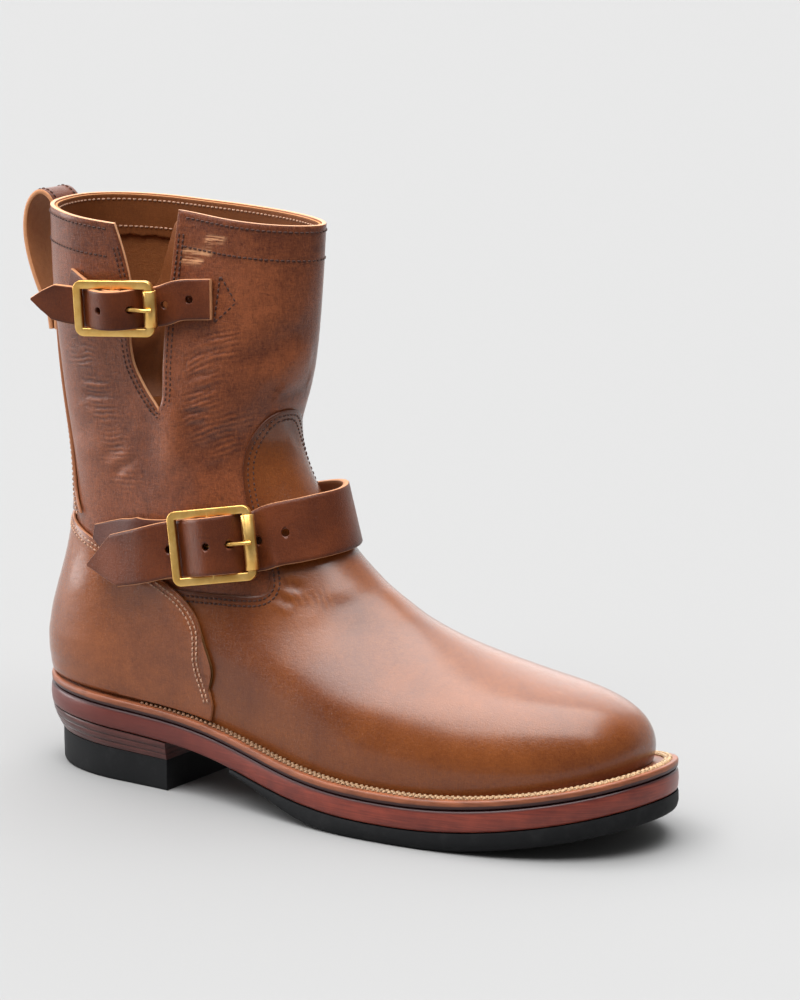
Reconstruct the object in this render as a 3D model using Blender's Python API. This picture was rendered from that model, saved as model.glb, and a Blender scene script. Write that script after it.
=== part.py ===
"""A right engineer boot at real size, put together from separate leather, rubber and brass pieces.

The design frame runs X forward from the back of the heel, Y towards the inner (medial) side of the
foot and Z up from the floor. ORIGIN shifts it so that the origin lies under the middle of the boot.
Sizes are written in millimetres and MM turns them into metres.
"""

import math
from collections import namedtuple

import bmesh
import bpy
import numpy as np
from mathutils import Vector

MM = 0.001

# Driving dimensions in millimetres.
ORIGIN = (141.9, 0.0, 0.0)
GAP = 0.3
FACET_GAP = 0.9
FOOT_GAP = 0.5
SHAFT_WALL = 2.0
VAMP_STEP = 1.2
COUNTER_THICK = 1.4
BACKSTAY_THICK = 1.3
FACING_THICK = 1.2
FACING_DEPTH = 17.5
GUSSET_THICK = 1.2

MIDSOLE_THICK = 9.2
OUTSOLE_THICK = 8.0
OUTSOLE_REAR_THICK = 2.4
OUTSOLE_REAR_X = 116.0
OUTSOLE_FULL_X = 165.0
WELT_THICK = 3.8
INSOLE_THICK = 3.5
HEEL_BREAST_X = 80.0
HEEL_RUBBER_BREAST = 13.6
HEEL_RUBBER_BACK = 15.4
HEEL_LIFT_NAMES = ("heel_lift_lower", "heel_lift_middle", "heel_lift_upper")
HEEL_UNDERCUT = 4.6

STRAP_THICK = 2.8
CHAPE_THICK = 2.0
FRAME_WIDTH = 3.6
FRAME_DEPTH = 2.8
BAR_RADIUS = 1.5
ROLLER_BORE = 2.3
ROLLER_RADIUS = 2.9
PRONG_RADIUS = 1.1
SLOT_HALF = 2.0
HOLE_RADIUS = 1.7
PULL_WIDTH = 18.0
PULL_THICK = 2.2

# Underside of the leather midsole, seen from the side.
SoleLine = namedtuple("SoleLine", "x z")
SOLE_LINE = [
    SoleLine(-6.0, 26.9),
    SoleLine(35.0, 24.5),
    SoleLine(70.0, 22.3),
    SoleLine(95.0, 20.2),
    SoleLine(120.0, 16.0),
    SoleLine(145.0, 11.3),
    SoleLine(170.0, 8.4),
    SoleLine(195.0, 7.6),
    SoleLine(218.0, 8.0),
    SoleLine(242.0, 10.2),
    SoleLine(266.0, 14.0),
    SoleLine(290.0, 19.2),
    SoleLine(308.0, 24.0),
]

# The shaft-level outer surface. Each row is one slice round the boot, from the feather line at the
# sole up to the collar. A slice runs from its back point to its front point and has a half width
# near the heel (rear) and near the ball (fore) on each side. Lengths of the rounded ends are shares
# of the slice, the powers say how blunt they are, swing moves the front inwards, and follow is how
# much of the sole's curve the slice keeps.
Slice = namedtuple(
    "Slice",
    "back_x back_z front_x front_z rear_lat rear_med fore_lat fore_med waist_lat waist_med "
    "back_len back_pow front_len front_pow swing follow",
)
SLICES = [
    Slice(4.6, 36.0, 284.6, 27.6, 32.6, 30.8, 46.8, 43.6, 2.6, 8.5, 0.17, 2.2, 0.36, 2.35, 6.0, 1.00),
    Slice(2.4, 39.6, 288.2, 34.5, 33.4, 31.8, 48.0, 44.8, 2.4, 8.0, 0.17, 2.2, 0.36, 2.35, 6.0, 0.93),
    Slice(0.9, 43.2, 288.6, 43.5, 34.2, 32.8, 48.6, 45.2, 2.0, 7.0, 0.17, 2.2, 0.37, 2.30, 6.0, 0.82),
    Slice(0.2, 46.9, 282.6, 52.4, 34.7, 33.4, 47.6, 44.2, 1.6, 5.5, 0.18, 2.2, 0.39, 2.25, 5.8, 0.68),
    Slice(0.0, 50.5, 268.6, 58.8, 34.9, 33.7, 45.6, 42.6, 1.2, 4.2, 0.18, 2.2, 0.42, 2.20, 5.4, 0.52),
    Slice(0.0, 54.0, 249.0, 62.6, 34.9, 33.8, 43.2, 40.8, 0.8, 3.0, 0.19, 2.2, 0.46, 2.15, 4.8, 0.38),
    Slice(0.2, 57.5, 226.6, 66.6, 34.8, 33.8, 41.2, 39.4, 0.4, 2.0, 0.20, 2.2, 0.49, 2.10, 4.0, 0.25),
    Slice(0.7, 61.4, 203.6, 72.4, 34.5, 33.5, 39.4, 37.8, 0.2, 1.2, 0.22, 2.2, 0.51, 2.05, 3.0, 0.15),
    Slice(1.6, 66.2, 181.6, 81.4, 34.0, 33.0, 37.6, 36.2, 0.0, 0.6, 0.24, 2.2, 0.52, 2.00, 2.0, 0.08),
    Slice(3.0, 72.2, 161.6, 94.2, 33.3, 32.3, 36.0, 34.6, 0.0, 0.2, 0.26, 2.2, 0.52, 2.00, 1.0, 0.03),
    Slice(5.2, 80.2, 144.8, 109.6, 32.6, 31.5, 34.8, 33.2, 0.0, 0.0, 0.28, 2.2, 0.52, 2.00, 0.4, 0.00),
    Slice(8.4, 91.0, 131.4, 126.0, 32.0, 31.0, 34.2, 32.4, 0.0, 0.0, 0.30, 2.2, 0.51, 2.05, 0.0, 0.00),
    Slice(12.2, 106.0, 121.8, 141.6, 32.0, 30.8, 34.6, 32.2, 0.0, 0.0, 0.32, 2.2, 0.50, 2.10, 0.0, 0.00),
    Slice(14.4, 124.0, 119.0, 156.6, 33.0, 30.8, 35.4, 32.0, 0.0, 0.0, 0.33, 2.2, 0.50, 2.15, 0.0, 0.00),
    Slice(12.4, 146.0, 124.6, 173.5, 35.0, 30.8, 35.4, 31.4, 0.0, 0.0, 0.34, 2.2, 0.50, 2.10, 0.0, 0.00),
    Slice(7.8, 172.0, 130.2, 195.0, 37.2, 30.6, 33.6, 30.4, 0.0, 0.0, 0.34, 2.2, 0.50, 2.00, 0.0, 0.00),
    Slice(4.4, 210.0, 133.2, 219.0, 39.4, 30.2, 30.4, 29.2, 0.0, 0.0, 0.33, 2.2, 0.50, 1.90, 0.0, 0.00),
    Slice(4.2, 248.0, 135.2, 244.6, 41.0, 29.6, 27.4, 28.4, 0.0, 0.0, 0.32, 2.2, 0.50, 1.85, 0.0, 0.00),
]
REAR_AT, FORE_AT, WAIST_AT, WAIST_SPREAD = 0.20, 0.66, 0.42, 0.15

# Welt margin beyond the upper's foot, by angle round the boot (0 toe, 180 heel).
Margin = namedtuple("Margin", "angle width")
WELT_MARGIN = [
    Margin(0, 14.5), Margin(30, 11.0), Margin(60, 7.8), Margin(90, 6.6), Margin(130, 5.4), Margin(180, 5.2),
]

# Top edge of the vamp: a round tab up the front, a rounded corner below the strap, then level
# towards the heel, where the counter hides it.
Seam = namedtuple("Seam", "angle z")
VAMP_EDGE = [
    Seam(0, 166.0), Seam(10, 165.0), Seam(18, 161.5), Seam(25, 154.5), Seam(31, 145.0),
    Seam(36, 133.0), Seam(40, 120.0), Seam(44, 106.0), Seam(48, 97.0), Seam(53, 92.0),
    Seam(60, 89.6), Seam(75, 89.0), Seam(95, 88.0), Seam(125, 80.0), Seam(155, 68.0), Seam(180, 62.0),
]

TAB_SHIFT = 10.0

# Counter edge from its front foot at the welt to the back: where each upright starts and ends.
CounterEdge = namedtuple("CounterEdge", "foot_angle top_angle top_z")
COUNTER_EDGE = [
    CounterEdge(108.0, 107.5, 43.0),
    CounterEdge(110.0, 101.5, 57.0),
    CounterEdge(112.5, 94.0, 72.0),
    CounterEdge(116.0, 86.5, 84.0),
    CounterEdge(121.0, 86.5, 91.0),
    CounterEdge(129.0, 99.0, 97.5),
    CounterEdge(140.0, 122.0, 105.0),
    CounterEdge(153.0, 143.0, 110.0),
    CounterEdge(167.0, 163.0, 112.4),
    CounterEdge(180.0, 180.0, 113.0),
]

# Backstay: half its spread round the back, in degrees, at each height.
BackstaySpread = namedtuple("BackstaySpread", "z degrees")
BACKSTAY_SPREAD = [
    BackstaySpread(114.6, 46.0), BackstaySpread(125.0, 34.0), BackstaySpread(145.0, 25.0),
    BackstaySpread(170.0, 19.0), BackstaySpread(205.0, 15.0),
]

# The V slit on the outer side of the shaft, seen from the side.
SlitEdge = namedtuple("SlitEdge", "z rear_x front_x")
SLIT = [
    SlitEdge(168.0, 73.0, 76.4), SlitEdge(174.0, 68.0, 77.0), SlitEdge(186.0, 62.0, 76.6),
    SlitEdge(200.0, 61.0, 76.6), SlitEdge(214.0, 62.4, 77.0), SlitEdge(230.0, 60.0, 78.0),
    SlitEdge(262.0, 51.0, 80.0),
]
SLIT_INNER_Y = -3.0
SLIT_OUTER_Y = -80.0
FLAP_OUT, FLAP_IN = 5.0, 3.5
FLAP_DROP, FLAP_RISE = 3.0, 4.0
FLAP_REACH = 34.0

# A buckle's seat on the upper: where its middle stands, how far out, and its outside size.
BuckleSeat = namedtuple("BuckleSeat", "angle z lift length height slope")
INSTEP_SEAT = BuckleSeat(62.0, 109.8, 8.0, 38.0, 32.0, 2.4)
TOP_SEAT = BuckleSeat(100.0, 209.2, 7.6, 36.0, 24.0, 0.6)

# A strap's middle line on the upper: angle and height, how far it stands out level from the
# surface, how far its lower edge leans out in degrees, and its width there.
OnUpper = namedtuple("OnUpper", "angle z push lean width")
# The same line inside a buckle: along the buckle, across it and out from its middle plane.
InBuckle = namedtuple("InBuckle", "along across out width")
INSTEP_STRAP = [
    OnUpper(117.5, 95.4, 8.2, 5.0, 0.6),
    OnUpper(110.0, 97.4, 8.5, 5.0, 12.0),
    OnUpper(103.0, 99.4, 9.0, 5.0, 21.8),
    OnUpper(97.0, 101.2, 9.2, 5.0, 22.4),
    OnUpper(89.5, 103.6, 9.0, 5.0, 22.8),
    InBuckle(-20.5, 0.0, -3.8, 23.1),
    InBuckle(-17.2, 0.0, -3.7, 23.2),
    InBuckle(-8.0, 0.0, 2.4, 23.5),
    InBuckle(-1.0, 0.0, 6.0, 23.6),
    InBuckle(4.6, 0.0, 4.9, 23.8),
    InBuckle(9.0, 0.0, 1.5, 24.0),
    InBuckle(15.5, 0.0, -4.9, 24.3),
    InBuckle(18.6, 0.0, -5.6, 24.5),
    OnUpper(38.0, 115.4, 6.2, 12.0, 25.6),
    OnUpper(27.0, 117.8, 8.1, 15.0, 26.0),
    OnUpper(14.0, 119.8, 10.2, 16.0, 26.0),
    OnUpper(0.0, 121.0, 11.6, 15.0, 25.6),
    OnUpper(-14.0, 121.0, 10.2, 13.0, 25.4),
    OnUpper(-28.0, 119.6, 8.8, 11.0, 25.4),
    OnUpper(-42.0, 117.0, 7.4, 9.0, 25.4),
    OnUpper(-56.0, 113.4, 6.0, 7.0, 25.4),
    OnUpper(-70.0, 109.4, 4.8, 5.0, 25.4),
    OnUpper(-82.0, 106.0, 4.2, 4.0, 25.4),
]
INSTEP_CHAPE = [
    OnUpper(119.0, 104.4, 4.8, 6.0, 12.0),
    OnUpper(111.0, 103.4, 5.0, 6.0, 22.0),
    OnUpper(103.0, 103.6, 5.4, 6.0, 26.0),
    OnUpper(95.0, 104.8, 6.1, 5.0, 27.0),
    InBuckle(-17.2, 0.0, -7.1, 24.0),
    InBuckle(-9.0, 0.0, -2.8, 23.6),
    InBuckle(-4.6, 0.0, 0.3, 23.4),
    InBuckle(-1.6, 0.0, 2.42, 23.4),
    InBuckle(0.0, 0.0, 2.9, 23.4),
    InBuckle(1.6, 0.0, 2.42, 23.4),
    InBuckle(2.6, 0.0, 1.3, 23.4),
    InBuckle(2.9, 0.0, 0.0, 23.4),
    InBuckle(2.6, 0.0, -1.3, 23.4),
    InBuckle(1.6, 0.0, -2.42, 23.4),
    InBuckle(0.0, 0.0, -2.9, 23.4),
    InBuckle(-3.0, 0.0, -3.5, 23.4),
]
TOP_STRAP = [
    InBuckle(-39.0, 3.0, -4.0, 0.6),
    InBuckle(-34.5, 2.5, -3.9, 7.6),
    InBuckle(-29.0, 1.8, -3.8, 14.6),
    InBuckle(-23.0, 0.8, -3.8, 15.4),
    InBuckle(-19.5, 0.3, -3.8, 15.6),
    InBuckle(-16.2, 0.0, -3.7, 15.8),
    InBuckle(-8.0, 0.0, 2.4, 15.8),
    InBuckle(-1.0, 0.0, 6.0, 15.8),
    InBuckle(4.0, 0.0, 4.9, 15.9),
    InBuckle(8.0, 0.0, 1.5, 16.0),
    InBuckle(14.5, 0.0, -4.9, 16.1),
    InBuckle(17.6, 0.0, -5.6, 16.3),
    OnUpper(77.0, 212.6, 3.5, 8.0, 16.4),
    OnUpper(70.5, 213.4, 2.4, 8.0, 16.4),
    OnUpper(63.5, 213.9, 2.2, 8.0, 16.4),
]
TOP_CHAPE = [
    OnUpper(124.0, 208.4, 1.8, 0.0, 20.0),
    InBuckle(-16.2, 0.4, -7.0, 17.0),
    InBuckle(-9.0, 0.0, -2.8, 16.0),
    InBuckle(-4.6, 0.0, 0.3, 15.6),
    InBuckle(-1.6, 0.0, 2.42, 15.6),
    InBuckle(0.0, 0.0, 2.9, 15.6),
    InBuckle(1.6, 0.0, 2.42, 15.6),
    InBuckle(2.6, 0.0, 1.3, 15.6),
    InBuckle(2.9, 0.0, 0.0, 15.6),
    InBuckle(2.6, 0.0, -1.3, 15.6),
    InBuckle(1.6, 0.0, -2.42, 15.6),
    InBuckle(0.0, 0.0, -2.9, 15.6),
    InBuckle(-3.0, 0.0, -3.5, 15.6),
]

# The pull loop's middle line at the back of the shaft, seen from the side.
LoopPoint = namedtuple("LoopPoint", "x z")
PULL_LOOP = [
    LoopPoint(1.0, 190.0), LoopPoint(0.6, 202.0), LoopPoint(1.0, 216.0), LoopPoint(1.6, 231.0),
    LoopPoint(1.2, 241.5), LoopPoint(-1.6, 247.4), LoopPoint(-6.4, 249.6), LoopPoint(-11.6, 246.6),
    LoopPoint(-14.8, 239.6), LoopPoint(-15.2, 229.4), LoopPoint(-12.2, 217.0),
    LoopPoint(-7.2, 205.4), LoopPoint(-3.4, 197.6), LoopPoint(-1.9, 190.0),
]

GUSSET_TOP_Z = 245.0
GUSSET_TUCK = 7.0
GUSSET_DIP = 38.0

COLUMN_STEPS = [(0.0, 24.0, 6.0), (24.0, 59.0, 5.0), (59.0, 104.0, 11.25), (104.0, 180.0, 9.5)]


def natural_spline(knots, values):
    """A smooth curve with continuous curvature through (knot, value) pairs, as a function of arrays."""
    t = np.asarray(knots, float)
    y = np.asarray(values, float)
    step = np.diff(t)
    slope = np.diff(y) / step
    count = len(t)
    system = np.eye(count)
    right = np.zeros(count)
    for i in range(1, count - 1):
        system[i, i - 1 : i + 2] = step[i - 1], 2 * (step[i - 1] + step[i]), step[i]
        right[i] = 6 * (slope[i] - slope[i - 1])
    bend = np.linalg.solve(system, right)

    def at(where):
        q = np.clip(np.asarray(where, float), t[0], t[-1])
        i = np.clip(np.searchsorted(t, q, side="right") - 1, 0, count - 2)
        h = step[i]
        a = (t[i + 1] - q) / h
        b = (q - t[i]) / h
        curve = ((a**3 - a) * bend[i] + (b**3 - b) * bend[i + 1]) * h * h / 6
        return a * y[i] + b * y[i + 1] + curve

    return at


def monotone_spline(knots, values):
    """A smooth curve through (knot, value) pairs that never overshoots between them."""
    t = np.asarray(knots, float)
    y = np.asarray(values, float)
    step = np.diff(t)
    slope = np.diff(y) / step
    tangent = np.concatenate([[slope[0]], (slope[:-1] + slope[1:]) / 2, [slope[-1]]])
    for i in range(1, len(slope)):
        if slope[i - 1] * slope[i] <= 0:
            tangent[i] = 0.0
        else:
            limit = 3 * min(abs(slope[i - 1]), abs(slope[i]))
            tangent[i] = math.copysign(min(abs(tangent[i]), limit), slope[i])

    def at(where):
        q = np.clip(np.asarray(where, float), t[0], t[-1])
        i = np.clip(np.searchsorted(t, q, side="right") - 1, 0, len(t) - 2)
        h = step[i]
        u = (q - t[i]) / h
        start = (1 + 2 * u) * (1 - u) ** 2 * y[i] + u * (1 - u) ** 2 * h * tangent[i]
        end = u * u * (3 - 2 * u) * y[i + 1] + u * u * (u - 1) * h * tangent[i + 1]
        return start + end

    return at


def column(rows, name):
    return [getattr(row, name) for row in rows]


def smoothstep(t):
    t = np.clip(t, 0.0, 1.0)
    return t * t * (3 - 2 * t)


sole_underside = natural_spline(column(SOLE_LINE, "x"), column(SOLE_LINE, "z"))


def sole_top(x):
    return sole_underside(x) + MIDSOLE_THICK


SLICE_AT = np.linspace(0.0, 1.0, len(SLICES))
slice_value = {name: natural_spline(SLICE_AT, column(SLICES, name)) for name in Slice._fields}
slit_rear = monotone_spline(column(SLIT, "z"), column(SLIT, "rear_x"))
slit_front = monotone_spline(column(SLIT, "z"), column(SLIT, "front_x"))
welt_margin = monotone_spline(column(WELT_MARGIN, "angle"), column(WELT_MARGIN, "width"))
SLIT_FOOT_Z, COLLAR_Z = SLIT[0].z, SLICES[-1].front_z


def rounded_end(reach, length, power):
    """Share of the full width at a distance from the tip of a rounded end."""
    rest = 1 - np.clip(reach / length, 0.0, 1.0)
    return (1 - rest**power) ** (1 / power)


def flap_shift(points):
    """The slit's rear flap stands out and dips, and its front flap tucks in and rises."""
    x, y, z = points[..., 0], points[..., 1], points[..., 2]
    lift = np.clip((z - SLIT_FOOT_Z) / (COLLAR_Z - SLIT_FOOT_Z), 0.0, 1.2) ** 1.4
    lift = lift * smoothstep(-y / 12.0)
    middle = (slit_rear(z) + slit_front(z)) / 2
    near = np.exp(-(((x - middle) / FLAP_REACH) ** 2))
    rear = x < middle
    out = np.where(rear, -FLAP_OUT, FLAP_IN) * near * lift
    rise = np.where(rear, -FLAP_DROP, FLAP_RISE) * near * lift
    return points + np.stack([np.zeros_like(out), out, rise], -1)


def upper_surface(angle, level):
    """Shaft-level outer surface at an angle in degrees (0 toe, 90 outer side, 180 heel) and a level
    from 0 at the feather line to 1 at the collar."""
    angle, level = np.broadcast_arrays(np.asarray(angle, float), np.asarray(level, float))
    value = {name: curve(level) for name, curve in slice_value.items()}
    turn = np.radians(angle)
    along = (1 + np.cos(turn)) / 2
    x = value["back_x"] + (value["front_x"] - value["back_x"]) * along
    z = value["back_z"] + (value["front_z"] - value["back_z"]) * along
    chord = sole_top(value["back_x"]) * (1 - along) + sole_top(value["front_x"]) * along
    z = z + value["follow"] * (sole_top(x) - chord)
    outer = np.sin(turn) >= 0
    rear = np.where(outer, value["rear_lat"], value["rear_med"])
    fore = np.where(outer, value["fore_lat"], value["fore_med"])
    waist = np.where(outer, value["waist_lat"], value["waist_med"])
    width = rear + (fore - rear) * smoothstep((along - REAR_AT) / (FORE_AT - REAR_AT))
    width = width - waist * np.exp(-(((along - WAIST_AT) / WAIST_SPREAD) ** 2))
    width = width * rounded_end(along, value["back_len"], value["back_pow"])
    width = width * rounded_end(1 - along, value["front_len"], value["front_pow"])
    middle = value["swing"] * np.clip((along - 0.45) / 0.55, 0.0, 1.0) ** 1.6
    y = middle + np.where(outer, -width, width)
    return flap_shift(np.stack([x, y, z], -1))


def upper_normal(angle, level):
    """Outward unit normal of the shaft-level surface."""
    d_angle, d_level = 0.4, 0.004
    low = np.clip(np.asarray(level, float) - d_level, 0, 1)
    high = np.clip(np.asarray(level, float) + d_level, 0, 1)
    round_it = upper_surface(angle + d_angle, level) - upper_surface(angle - d_angle, level)
    up_it = upper_surface(angle, high) - upper_surface(angle, low)
    normal = np.cross(up_it, round_it)
    return normal / np.linalg.norm(normal, axis=-1, keepdims=True)


def upper_at(angle, level, offset):
    offset = np.asarray(offset, float)
    return upper_surface(angle, level) + upper_normal(angle, level) * offset[..., None]


LEVEL_SAMPLES = np.linspace(0.0, 1.0, 241)


def level_of(angle, z):
    """The level at which the surface reaches a height, at each angle."""
    found = []
    for a, height in np.broadcast(np.asarray(angle, float), np.asarray(z, float)):
        heights = upper_surface(np.full_like(LEVEL_SAMPLES, a), LEVEL_SAMPLES)[:, 2]
        found.append(np.interp(height, heights, LEVEL_SAMPLES))
    return np.array(found)


def mirror_angles(half):
    """Angles from the toe round the outer side to the heel and back along the inner side."""
    half = np.asarray(half, float)
    return np.concatenate([half, 360.0 - half[-2:0:-1]])


def half_columns():
    angles = [np.arange(start, stop - 1e-6, step) for start, stop, step in COLUMN_STEPS]
    return np.append(np.concatenate(angles), 180.0)


def fold_angle(angle):
    """An angle measured from the toe on either side, 0 to 180."""
    return np.abs((np.asarray(angle, float) + 180.0) % 360.0 - 180.0)


vamp_edge_line = monotone_spline(column(VAMP_EDGE, "angle"), column(VAMP_EDGE, "z"))


def vamp_edge(angle):
    """Height of the vamp's edge at an angle. The tab leans to the outer side."""
    signed = (np.asarray(angle, float) + 180.0) % 360.0 - 180.0
    lean = TAB_SHIFT * (1 - smoothstep(np.abs(signed) / 70.0))
    return vamp_edge_line(np.abs(signed - lean))


# Mesh building.


def material(name, colour, roughness, metallic=0.0):
    made = bpy.data.materials.new(name)
    made.use_nodes = True
    shader = made.node_tree.nodes["Principled BSDF"]
    shader.inputs["Base Color"].default_value = (*colour, 1.0)
    shader.inputs["Roughness"].default_value = roughness
    shader.inputs["Metallic"].default_value = metallic
    return made


def add_object(name, points, faces, finish):
    """A mesh object from points in millimetres of the design frame."""
    mesh = bpy.data.meshes.new(name)
    placed = (np.asarray(points, float).reshape(-1, 3) - ORIGIN) * MM
    mesh.from_pydata(placed.tolist(), [], faces)
    work = bmesh.new()
    work.from_mesh(mesh)
    bmesh.ops.recalc_face_normals(work, faces=work.faces)
    work.to_mesh(mesh)
    work.free()
    mesh.materials.append(finish)
    mesh.shade_smooth()
    mesh.set_sharp_from_angle(angle=math.radians(35))
    made = bpy.data.objects.new(name, mesh)
    boot.objects.link(made)
    made.parent = root
    return made


def loft(name, sections, finish, ring=False):
    """A solid through equal closed sections, capped at its ends or closed into a ring."""
    sections = np.asarray(sections, float)
    count, corners = sections.shape[:2]
    faces = []
    for i in range(count if ring else count - 1):
        j = (i + 1) % count
        for k in range(corners):
            m = (k + 1) % corners
            faces.append((i * corners + k, i * corners + m, j * corners + m, j * corners + k))
    if not ring:
        faces.append(tuple(range(corners)))
        faces.append(tuple(range((count - 1) * corners, count * corners)))
    return add_object(name, sections, faces, finish)


def shell(name, outer, inner, finish, wrap=False):
    """A wall between two equal grids of points, rows by columns, closed along its edges."""
    outer, inner = np.asarray(outer, float), np.asarray(inner, float)
    columns = np.concatenate([outer, inner[::-1]], axis=0).transpose(1, 0, 2)
    return loft(name, columns, finish, ring=wrap)


def boolean(target, cutter, operation="DIFFERENCE"):
    step = target.modifiers.new(operation.lower(), "BOOLEAN")
    step.operation = operation
    step.object = cutter
    step.solver = "EXACT"


def as_cutter(made):
    boot.objects.unlink(made)
    cutters.objects.link(made)
    made.hide_render = True
    made.display_type = "WIRE"
    return made


# Sole, welt and heel.

SOLE_PAIRS = (np.arange(26) + 0.5) * 180.0 / 26


def edge_loop(angles, outward):
    """Outline of the upper's foot in plan, moved outwards by a distance at each angle."""
    foot = upper_at(angles, np.zeros_like(angles), np.full_like(angles, VAMP_STEP))[:, :2]
    ahead = upper_surface(angles - 0.5, np.zeros_like(angles))[:, :2]
    behind = upper_surface(angles + 0.5, np.zeros_like(angles))[:, :2]
    run = ahead - behind
    out = np.stack([run[:, 1], -run[:, 0]], -1)
    out /= np.linalg.norm(out, axis=1, keepdims=True)
    return foot + out * np.asarray(outward, float)[..., None]


def sole_edge(angles, inset=0.0):
    return edge_loop(angles, GAP + welt_margin(fold_angle(angles)) - inset)


def slab(name, angles, profile, bottom, top, finish):
    """A sole layer through cross-sections from front to back. The profile gives the side as (inset,
    share of the thickness) from the underside up."""
    sides = []
    for inset, share in profile:
        pair = []
        for side in (angles, 360.0 - angles):
            plan = sole_edge(side, inset)
            low, high = bottom(plan[:, 0]), top(plan[:, 0])
            pair.append(np.column_stack([plan, low + (high - low) * share]))
        sides.append(pair)
    lateral = [pair[0] for pair in sides]
    medial = [pair[1] for pair in reversed(sides)]
    return loft(name, np.stack(lateral + medial, axis=1), finish)


def build_midsole():
    profile = [(0.8, 0.0), (0.0, 0.12), (-0.2, 0.5), (0.0, 0.88), (0.7, 1.0)]
    return slab("midsole_leather", SOLE_PAIRS, profile, sole_underside, sole_top, EDGE_LEATHER)


def outsole_bottom(x):
    thick = OUTSOLE_REAR_THICK + (OUTSOLE_THICK - OUTSOLE_REAR_THICK) * smoothstep(
        (x - OUTSOLE_REAR_X) / (OUTSOLE_FULL_X - OUTSOLE_REAR_X)
    )
    return np.maximum(sole_underside(x) - thick, 0.0)


def build_outsole():
    forward = SOLE_PAIRS[sole_edge(SOLE_PAIRS)[:, 0] > OUTSOLE_REAR_X]
    profile = [(1.6, 0.0), (0.3, 0.14), (-0.3, 0.55), (0.0, 1.0)]
    return slab(
        "outsole_rubber", forward, profile, outsole_bottom, lambda x: sole_underside(x) - GAP, RUBBER
    )


def build_welt():
    angles = mirror_angles(half_columns())
    inner_low = edge_loop(angles, np.full_like(angles, 3 * GAP))
    rise_level = level_of(angles, upper_surface(angles, np.zeros_like(angles))[:, 2] + WELT_THICK)
    wall = upper_at(angles, rise_level, np.full_like(angles, VAMP_STEP + 3 * GAP))[:, :2]
    outer = sole_edge(angles, 0.2)
    crown = sole_edge(angles, 1.2)

    def ring_at(plan, lift):
        return np.column_stack([plan, sole_top(plan[:, 0]) + lift])

    low, high = FOOT_GAP, FOOT_GAP + WELT_THICK
    rows = [
        ring_at(inner_low, low),
        ring_at(outer, low),
        ring_at(outer, high - 0.9),
        ring_at(crown, high),
        ring_at(wall, high),
    ]
    return loft("welt", np.stack(rows, axis=1), WELT_LEATHER, ring=True)


def heel_loop(inset):
    """Plan outline of the heel at one height, from the breast round the back to the breast. The
    inset is full at the back and fades along the sides."""
    half = np.linspace(96.0, 180.0, 15)
    angles = np.concatenate([half, 360.0 - half[-2::-1]])
    back = smoothstep((fold_angle(angles) - 110.0) / 60.0)
    plan = sole_edge(angles, inset * (0.25 + 0.75 * back))
    kept = plan[plan[:, 0] < HEEL_BREAST_X - 2.0]
    ends = []
    for side in (plan[: len(half)], plan[len(half) - 1 :][::-1]):
        order = np.argsort(side[:, 0])
        ends.append((HEEL_BREAST_X, np.interp(HEEL_BREAST_X, side[order, 0], side[order, 1])))
    return np.vstack([[ends[0]], kept, [ends[1]]])


def resample(loop, count):
    """The same open outline through a given number of points, evenly by length."""
    run = np.concatenate([[0.0], np.cumsum(np.linalg.norm(np.diff(loop, axis=0), axis=1))])
    at = np.linspace(0.0, run[-1], count)
    return np.column_stack([np.interp(at, run, loop[:, i]) for i in range(loop.shape[1])])


def heel_block(name, levels, finish):
    """A heel layer through plan outlines at rising heights: (height as a function of x, inset)."""
    loops = []
    for height, inset in levels:
        plan = resample(heel_loop(inset), 27)
        loops.append(np.column_stack([plan, height(plan[:, 0])]))
    return loft(name, np.stack(loops), finish)


def rubber_top(x):
    return HEEL_RUBBER_BACK + (HEEL_RUBBER_BREAST - HEEL_RUBBER_BACK) * x / HEEL_BREAST_X


def heel_plane(share):
    """Height of a plane through the leather stack, from the rubber (0) to the midsole (1)."""
    return lambda x: rubber_top(x) + (sole_underside(x) - GAP - rubber_top(x)) * share


def build_heel():
    edge = 0.6 + HEEL_UNDERCUT
    heel_block(
        "heel_top_piece",
        [
            (lambda x: 0.0 * x, edge + 1.4),
            (lambda x: 1.4 + 0.0 * x, edge + 0.2),
            (lambda x: rubber_top(x) * 0.6, edge),
            (rubber_top, edge),
        ],
        RUBBER,
    )
    count = len(HEEL_LIFT_NAMES)
    for i, name in enumerate(HEEL_LIFT_NAMES):
        low, high = heel_plane(i / count), heel_plane((i + 1) / count)
        low_inset = 0.6 + HEEL_UNDERCUT * (1 - i / count) ** 1.6
        high_inset = 0.6 + HEEL_UNDERCUT * (1 - (i + 1) / count) ** 1.6
        heel_block(name, [(lambda x, low=low: low(x) + GAP, low_inset), (high, high_inset)], EDGE_LEATHER)


def build_insole():
    wall = SHAFT_WALL + FACET_GAP + 2 * GAP
    sides = []
    for lift in (FOOT_GAP, FOOT_GAP + INSOLE_THICK):
        for angles in (SOLE_PAIRS, 360.0 - SOLE_PAIRS):
            z = upper_surface(angles, np.zeros_like(angles))[:, 2] + lift
            inside = upper_at(angles, level_of(angles, z), np.full_like(angles, -wall))
            sides.append(np.column_stack([inside[:, :2], sole_top(inside[:, 0]) + lift]))
    order = [sides[0], sides[2], sides[3], sides[1]]
    return loft("insole", np.stack(order, axis=1), LINING)


# Upper and the panels laid on it.


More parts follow.
